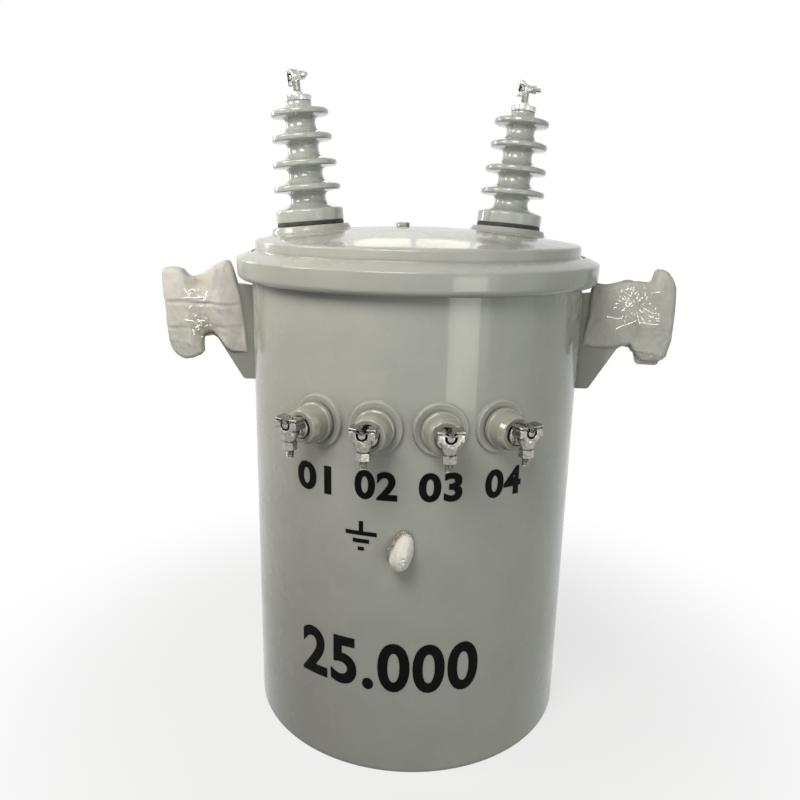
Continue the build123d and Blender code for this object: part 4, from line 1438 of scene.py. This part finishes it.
def colour_property(name, description, default):
    """Colour setting."""
    return FloatVectorProperty(name=name, description=description, default=default, subtype="COLOR",
                               size=3, min=0.0, max=1.0)


class PaintSettings(PropertyGroup):
    """Enamel on the tank, cover, band, lugs and hangers."""
    colour: colour_property("Colour", "Colour of the enamel", (0.43, 0.432, 0.395))
    roughness: FloatProperty(name="Roughness", description="Roughness of the clean enamel", default=0.2,
                             min=0.02, max=1.0, subtype="FACTOR")


class PorcelainSettings(PropertyGroup):
    """Glaze of all six bushings."""
    high_colour: colour_property("High-voltage glaze", "Colour of the high-voltage bushings",
                                 (0.44, 0.45, 0.42))
    low_colour: colour_property("Low-voltage glaze", "Colour of the low-voltage bushings",
                                (0.36, 0.355, 0.30))


class MetalSettings(PropertyGroup):
    """Bare metals."""
    bronze_colour: colour_property("Tinned bronze",
                                   "Colour of the low-voltage claws and bolts", (0.40, 0.39, 0.355))
    steel_colour: colour_property("Plated steel",
                                  "Colour of the high-voltage claws and the bolts", (0.56, 0.56, 0.54))


class PackingSettings(PropertyGroup):
    """Packing left on the lugs and the ground terminal."""
    foam_colour: colour_property("Foam", "Colour of the packing foam", (0.69, 0.66, 0.62))
    tape_colour: colour_property("Tape", "Colour of the clear tape over the foam", (0.50, 0.46, 0.33))


class MarkingSettings(PropertyGroup):
    """Black film markings on the front of the tank."""
    capacity: StringProperty(name="Large number", description="Plain number low on the tank",
                             default="25.000")
    capacity_height: FloatProperty(name="Large height", description="Height of the large number",
                                   default=0.066, min=0.01, max=0.15, subtype="DISTANCE", unit="LENGTH")
    terminal_height: FloatProperty(name="Terminal height", description="Height of the terminal numbers",
                                   default=0.035, min=0.01, max=0.06, subtype="DISTANCE", unit="LENGTH")


class StageSettings(PropertyGroup):
    """Floor and light."""
    floor_colour: colour_property("Floor", "Colour of the floor", (0.88, 0.88, 0.88))
    key_power: FloatProperty(name="Key light", description="Power of the key light in watts", default=6.4,
                             min=0.0, max=500.0)


# Operators


class TRANSFORMER_OT_tank(Operator):
    """Tank wall with its embossed pads, the bottom plate and the weld beads"""
    bl_idname = "transformer.tank"
    bl_label = "Tank"

    def execute(self, context):
        make_piece("tank_wall", [tank_wall_shell()], paint(), ("tank_shell", "tank_lip"))
        pads = [pad_shell(lv_place(number)) for number in range(1, 5)]
        make_piece("embossed_pads", pads, paint(), sharp=60)
        make_piece("weld_beads", weld_shells(), paint(), sharp=70)
        dress_node("bottom_plate", paint())
        dress_node("oil_and_core", made_once("sealed filling", filling_finish))
        return {"FINISHED"}


class TRANSFORMER_OT_cover(Operator):
    """Pressed cover with its seats and plug, its gasket, and the clamp band with its bolt"""
    bl_idname = "transformer.cover"
    bl_label = "Cover and band"

    def execute(self, context):
        make_piece("pressed_cover", [cover_shell()], paint(), ("cover",))
        seats = [seat_shell(hv_place(name)) for name in ("left", "right")]
        make_piece("bushing_seats", seats, paint(), sharp=60)
        make_piece("clamp_band", [band_shell(), *ear_shells()], paint(), ("cover_band",))
        dressed_copy("clamp_bolt", "band_bolt", steel(), 0.3)
        dressed_copy("dome_plug", "cover_plug", paint(), 0.5)
        dress_node("cover_gasket", rubber())
        return {"FINISHED"}


class TRANSFORMER_OT_high_voltage(Operator):
    """High-voltage bushings on the cover, with their caps, nuts, studs and claws"""
    bl_idname = "transformer.high_voltage"
    bl_label = "High-voltage bushings"

    def execute(self, context):
        for name in ("left", "right"):
            place, claw = hv_place(name), hv_claw_place(name)
            seal = seal_shell(HV_FLANGE_R - 0.5, HV_GASKET, HV_SPIGOT_R, 1.2, place)
            make_piece(f"hv_seal_{name}", [seal], rubber(), (f"hv_gasket_{name}",))
            porcelain_body = placed(turned(hv_porcelain_outline(), 96), place)
            make_piece(f"hv_porcelain_{name}", [porcelain_body], porcelain("high"),
                       (f"hv_bushing_{name}",), 50)
            make_piece(f"hv_cap_dish_{name}", [placed(turned(hv_cap_outline()), place)], steel(),
                       (f"hv_cap_{name}",))
            nut = hexagon(HV_NUT_FLATS, HV_NUT_HEIGHT, HV_STUD_R - 0.6)
            nut_place = place @ raised(HV_GASKET + HV_PORCELAIN_TOP + 2)
            make_piece(f"hv_cap_nut_{name}", [placed(nut, nut_place)], steel(),
                       (f"hv_nut_{name}",), 25)
            stud_top = HV_GASKET + HV_CLAW_Z - SLOT_HALF * HV_CLAW_SCALE
            stud = threaded(HV_STUD_R, HV_STUD_END, stud_top, HV_STUD_PITCH)
            body = placed_all(claw_shells(HV_CLAW_SCALE), claw)
            make_piece(f"hv_stud_claw_{name}", [placed(stud, place), *body], steel(),
                       (f"hv_terminal_{name}",))
            keeper = placed_all(keeper_shells(HV_CLAW_SCALE, HV_KEEPER_PITCH), claw)
            make_piece(f"hv_keeper_bolt_{name}", keeper, steel(),
                       (f"hv_claw_bolt_{name}",), 28)
        return {"FINISHED"}


class TRANSFORMER_OT_low_voltage(Operator):
    """Low-voltage bushings on the tank's front, with their studs, claws and keeper bolts"""
    bl_idname = "transformer.low_voltage"
    bl_label = "Low-voltage bushings"

    def execute(self, context):
        for number in range(1, 5):
            place, claw = lv_place(number), lv_claw_place(number)
            seal = seal_shell(LV_GASKET_R, LV_GASKET, LV_SPIGOT_R, 0.5, place)
            make_piece(f"lv_seal_{number}", [seal], rubber(), (f"lv_gasket_{number}",))
            make_piece(f"lv_porcelain_{number}", [placed(turned(lv_bushing_outline()), place)],
                       porcelain("low"), (f"lv_bushing_{number}",), 50)
            body = placed_all(claw_shells(1), claw)
            make_piece(f"lv_stud_claw_{number}", [placed(turned(lv_stud_outline()), place), *body],
                       bronze(), (f"lv_terminal_{number}",))
            keeper = placed_all(keeper_shells(1, LV_KEEPER_PITCH), claw)
            make_piece(f"lv_keeper_bolt_{number}", keeper, bronze(),
                       (f"lv_claw_bolt_{number}",), 28)
        return {"FINISHED"}


class TRANSFORMER_OT_fittings(Operator):
    """Lifting lugs, pole hangers and ground terminal"""
    bl_idname = "transformer.fittings"
    bl_label = "Lugs and hangers"

    def execute(self, context):
        for name in ("left", "right"):
            lug = dressed_copy(f"lug_plate_{name}", f"lifting_lug_{name}", shaded_lug_paint(), 0.9)
            seat_under_foam(lug, WRAPS[name])
        for name in ("upper", "lower"):
            dressed_copy(f"pole_hanger_{name}", f"hanger_{name}", paint(), 0.8)
        dressed_copy("ground_boss", "ground_pad", paint(), 0.5)
        dressed_copy("ground_bolt", "ground_terminal", steel(), 0.4)
        return {"FINISHED"}


class TRANSFORMER_OT_packing(Operator):
    """Foam wraps on the lugs and the ground terminal, with their clear tape"""
    bl_idname = "transformer.packing"
    bl_label = "Packing"

    def execute(self, context):
        for name, wrap in WRAPS.items():
            piece = make_piece(f"foam_wrap_{name}", [wrap_shell(wrap)], foam(),
                               (f"lug_foam_{name}",), 80)
            shells, crease, tint = tape_shells(wrap)
            strip = make_piece(f"tape_wrap_{name}", shells, tape(), sharp=80, merge=0)
            store(strip, "crease", crease)
            store(strip, "tint", tint)
            thick = strip.modifiers.new("tape thickness", "SOLIDIFY")
            thick.thickness = TAPE_THICKNESS * MM
        body = lump_shell(GROUND_FOAM_SHIFT, GROUND_FOAM_SIZE, 41, GROUND_PITS)
        lump = make_piece("ground_wrap", [body], ground_foam(), ("ground_foam",), 80)
        shell = lump_shell(GROUND_FILM_SHIFT, GROUND_FILM_SIZE, 43)
        skin = make_piece("ground_film", [shell], tape(), sharp=80, merge=0)
        # Painted highlight: white glints along the film's fine creases.
        creases = (1 - np.abs(waves(shell[0], 5, 44))) ** 14
        store(skin, "crease", 0.6 * creases)
        store(skin, "tint", 0.75 + 0.4 * waves(shell[0], 6, 45))
        return {"FINISHED"}


class TRANSFORMER_OT_markings(Operator):
    """Plain terminal numbers, earth sign and large number in black film on the tank's front"""
    bl_idname = "transformer.markings"
    bl_label = "Markings"

    def execute(self, context):
        settings = context.scene.transformer_marking
        small = settings.terminal_height / MM
        large = settings.capacity_height / MM
        numbers = [wrapped_text("terminal number", text, TERMINAL_ASPECT * small, small, azimuth,
                                height, TERMINAL_WEIGHT) for text, azimuth, height in TERMINAL_NUMBERS]
        mark_piece("terminal_numbers", numbers)
        number = wrapped_text("large number", settings.capacity, LARGE_ASPECT * large, large,
                              *LARGE_PLACE, LARGE_WEIGHT)
        mark_piece("large_number", [number])
        earth = [bar_shell(*bar) for bar in EARTH_BARS]
        make_piece("earth_sign", earth, film(), sharp=30)
        return {"FINISHED"}


# Stage


CAMERA_LENS = 33.17
CAMERA_SENSOR = 36.0
CAMERA_POSITION = (0.0242, -0.9901, 0.6785)
CAMERA_YAW = -2.513
CAMERA_PITCH = 14.399
CAMERA_ROLL = 1.151

FLOOR_RADIUS = 30
FLOOR_BOUNCE = 0.2
FLOOR_WHITE = 0.7
FLOOR_FADE = (0.28, 0.75)
AMBIENT = 0.10

# Lamps: rows (name, place, aim, size, power) with a colour and a spread where they aren't plain.
# The window's panes are rows (middle, width); its place and its aim are (Y, Z).
KEY_LAMP = ("key", (-0.22, -0.81, 1.16), (0, 0, 0.45), (0.45, 0.45))
KEY_COLOUR = (1.0, 0.985, 0.95)
LAMPS = (
    ("fill", (1.3, -1.75, 0.64), (0, 0, 0.45), (0.9, 1.3), 4.2, (0.82, 1.0, 0.90)),
    ("right side", (2.06, -0.75, 0.64), (0, 0, 0.4), (0.9, 1.2), 1.6, (0.82, 1.0, 0.88)),
    ("low front", (0.9, -1.5, 0.25), (0, 0, 0.25), (0.6, 0.4), 1.1, (1.0, 0.98, 0.85), 100),
    ("left side", (-0.95, -0.3, 1.1), (-0.2, 0, 0.62), (0.4, 0.4), 0.75, (1.0, 0.97, 0.80), 60),
    ("left edge", (-1.7, 0.95, 1.0), (0, 0, 0.6), (0.12, 0.8), 6, (1.0, 0.98, 0.93)),
    ("back", (0, 2.3, 0.7), (0, 0, 0.4), (1.6, 1.0), 14, (1, 1, 1)),
)
WINDOW_PLACE = (2.2, 1.5)
WINDOW_AIM = (-0.19, 0.64)
WINDOW_HEIGHT = 0.22
WINDOW_PANES = ((-0.56, 0.26), (-0.24, 0.30), (0.08, 0.28), (0.27, 0.05), (0.42, 0.18))
WINDOW_POWER = 1.1
WINDOW_COLOUR = (1.0, 0.90, 0.70)


def add_camera():
    """Camera that looks along its yaw, pitch and roll from its place before the tank's front."""
    yaw, pitch, roll = (math.radians(value) for value in (CAMERA_YAW, CAMERA_PITCH, CAMERA_ROLL))
    ahead = Vector((math.sin(yaw) * math.cos(pitch), math.cos(yaw) * math.cos(pitch), -math.sin(pitch)))
    right = Vector((math.cos(yaw), -math.sin(yaw), 0))
    up = right.cross(ahead)
    tilted_right = math.cos(roll) * right + math.sin(roll) * up
    tilted_up = math.cos(roll) * up - math.sin(roll) * right
    data = bpy.data.cameras.new("camera")
    data.lens = CAMERA_LENS
    data.sensor_width = CAMERA_SENSOR
    camera = bpy.data.objects.new("camera", data)
    bpy.context.scene.collection.objects.link(camera)
    turn = Matrix((tilted_right, tilted_up, -ahead)).transposed().to_4x4()
    camera.matrix_world = Matrix.Translation(CAMERA_POSITION) @ turn
    bpy.context.scene.camera = camera


def add_lamp(name, place, aim, size, power, colour=(1, 1, 1), spread=180):
    """Soft rectangular lamp at a place, turned towards a point."""
    data = bpy.data.lights.new(name, "AREA")
    data.shape = "RECTANGLE"
    data.size, data.size_y = size
    data.energy = power
    data.color = colour
    data.spread = math.radians(spread)
    lamp = bpy.data.objects.new(name, data)
    bpy.context.scene.collection.objects.link(lamp)
    lamp.location = place
    lamp.rotation_euler = (Vector(aim) - Vector(place)).to_track_quat("-Z", "Y").to_euler()
    lamp.visible_camera = False
    return lamp


def seen_rays(tree):
    """Output that is 1 for camera, glossy and transmission rays."""
    path = tree.nodes.new("ShaderNodeLightPath")
    first = tree.nodes.new("ShaderNodeMath")
    second = tree.nodes.new("ShaderNodeMath")
    first.operation = second.operation = "MAXIMUM"
    tree.links.new(path.outputs["Is Camera Ray"], first.inputs[0])
    tree.links.new(path.outputs["Is Glossy Ray"], first.inputs[1])
    tree.links.new(first.outputs[0], second.inputs[0])
    tree.links.new(path.outputs["Is Transmission Ray"], second.inputs[1])
    return second.outputs[0]


def floor_material(colour):
    """Pale floor that takes the object's shadow and runs out into plain white away from it."""
    floor = Finish("studio floor")
    seen = seen_rays(floor.tree)
    floor.colour(floor.mixed(seen, (FLOOR_BOUNCE, FLOOR_BOUNCE, FLOOR_BOUNCE), colour))
    floor.fixed(roughness=0.8, specular_ior_level=0.1)
    reach = floor.node("ShaderNodeVectorMath", operation="LENGTH")
    floor.link(floor.place, reach.inputs[0])
    fade = floor.node("ShaderNodeMapRange", interpolation_type="SMOOTHSTEP")
    fade.inputs["From Min"].default_value, fade.inputs["From Max"].default_value = FLOOR_FADE
    fade.inputs["To Min"].default_value = FLOOR_WHITE
    floor.link(reach.outputs["Value"], fade.inputs["Value"])
    amount = floor.node("ShaderNodeMath", operation="MULTIPLY")
    floor.link(fade.outputs["Result"], amount.inputs[0])
    floor.link(seen, amount.inputs[1])
    white = floor.node("ShaderNodeEmission")
    white.inputs["Color"].default_value = (1, 1, 1, 1)
    mix = floor.node("ShaderNodeMixShader")
    floor.link(amount.outputs[0], mix.inputs[0])
    floor.link(floor.shader.outputs[0], mix.inputs[1])
    floor.link(white.outputs[0], mix.inputs[2])
    floor.link(mix.outputs[0], floor.tree.nodes["Material Output"].inputs["Surface"])
    return floor.material


def set_world():
    """White world for the rays that show it, and a soft even level for the light it gives."""
    world = bpy.data.worlds.new("studio")
    bpy.context.scene.world = world
    world.use_nodes = True
    tree = world.node_tree
    background = tree.nodes["Background"]
    level = tree.nodes.new("ShaderNodeMapRange")
    level.inputs["To Min"].default_value = AMBIENT
    level.inputs["To Max"].default_value = 1.0
    tree.links.new(seen_rays(tree), level.inputs["Value"])
    tree.links.new(level.outputs["Result"], background.inputs["Strength"])
    background.inputs["Color"].default_value = (1, 1, 1, 1)


class TRANSFORMER_OT_stage(Operator):
    """Pale floor, white world, soft lamps and the camera"""
    bl_idname = "transformer.stage"
    bl_label = "Stage"

    def execute(self, context):
        settings = context.scene.transformer_stage
        bpy.ops.mesh.primitive_circle_add(vertices=96, radius=FLOOR_RADIUS, fill_type="NGON",
                                         location=(0, 0, 0))
        floor = context.object
        floor.name = "studio_floor"
        floor.data.materials.append(floor_material(settings.floor_colour))
        floor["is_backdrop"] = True
        set_world()
        add_lamp(*KEY_LAMP, settings.key_power, KEY_COLOUR)
        for lamp in LAMPS:
            add_lamp(*lamp)
        bpy.data.objects["back"].visible_glossy = False
        for middle, width in WINDOW_PANES:
            add_lamp("window pane", (middle, *WINDOW_PLACE), (middle / 4, *WINDOW_AIM),
                     (width, WINDOW_HEIGHT), WINDOW_POWER * width, WINDOW_COLOUR)
        add_camera()
        context.scene.view_settings.view_transform = "Standard"
        return {"FINISHED"}


class TRANSFORMER_PT_panel(Panel):
    """Settings and pieces of the transformer"""
    bl_idname = "TRANSFORMER_PT_panel"
    bl_label = "Transformer"
    bl_space_type = "VIEW_3D"
    bl_region_type = "UI"
    bl_category = "Transformer"

    def draw(self, context):
        layout = self.layout
        for name, settings in SETTINGS:
            group = getattr(context.scene, name)
            box = layout.box()
            for key in settings.__annotations__:
                box.prop(group, key)
        for operator in OPERATORS:
            layout.operator(operator.bl_idname)


SETTINGS = (
    ("transformer_paint", PaintSettings),
    ("transformer_porcelain", PorcelainSettings),
    ("transformer_metal", MetalSettings),
    ("transformer_packing", PackingSettings),
    ("transformer_marking", MarkingSettings),
    ("transformer_stage", StageSettings),
)
OPERATORS = (
    TRANSFORMER_OT_tank,
    TRANSFORMER_OT_cover,
    TRANSFORMER_OT_high_voltage,
    TRANSFORMER_OT_low_voltage,
    TRANSFORMER_OT_fittings,
    TRANSFORMER_OT_packing,
    TRANSFORMER_OT_markings,
    TRANSFORMER_OT_stage,
)


def register():
    """Registers the settings, the operators and the panel."""
    for name, settings in SETTINGS:
        bpy.utils.register_class(settings)
        setattr(bpy.types.Scene, name, PointerProperty(type=settings))
    for operator in OPERATORS:
        bpy.utils.register_class(operator)
    bpy.utils.register_class(TRANSFORMER_PT_panel)


def unregister():
    """Removes what register added."""
    bpy.utils.unregister_class(TRANSFORMER_PT_panel)
    for operator in reversed(OPERATORS):
        bpy.utils.unregister_class(operator)
    for name, settings in reversed(SETTINGS):
        delattr(bpy.types.Scene, name)
        bpy.utils.unregister_class(settings)


def plain(box):
    """Box corners as plain lists of numbers."""
    return [list(corner) for corner in box]


def main():
    """Builds every piece and the stage."""
    cad_box = plain(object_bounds())
    register()
    bpy.ops.transformer.tank()
    bpy.ops.transformer.cover()
    bpy.ops.transformer.high_voltage()
    bpy.ops.transformer.low_voltage()
    bpy.ops.transformer.fittings()
    bpy.ops.transformer.packing()
    bpy.ops.transformer.markings()
    bpy.ops.transformer.stage()
    bpy.context.view_layer.update()
    {"cad": cad_box, "visual": plain(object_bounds())}


if __name__ == "__main__":
    main()
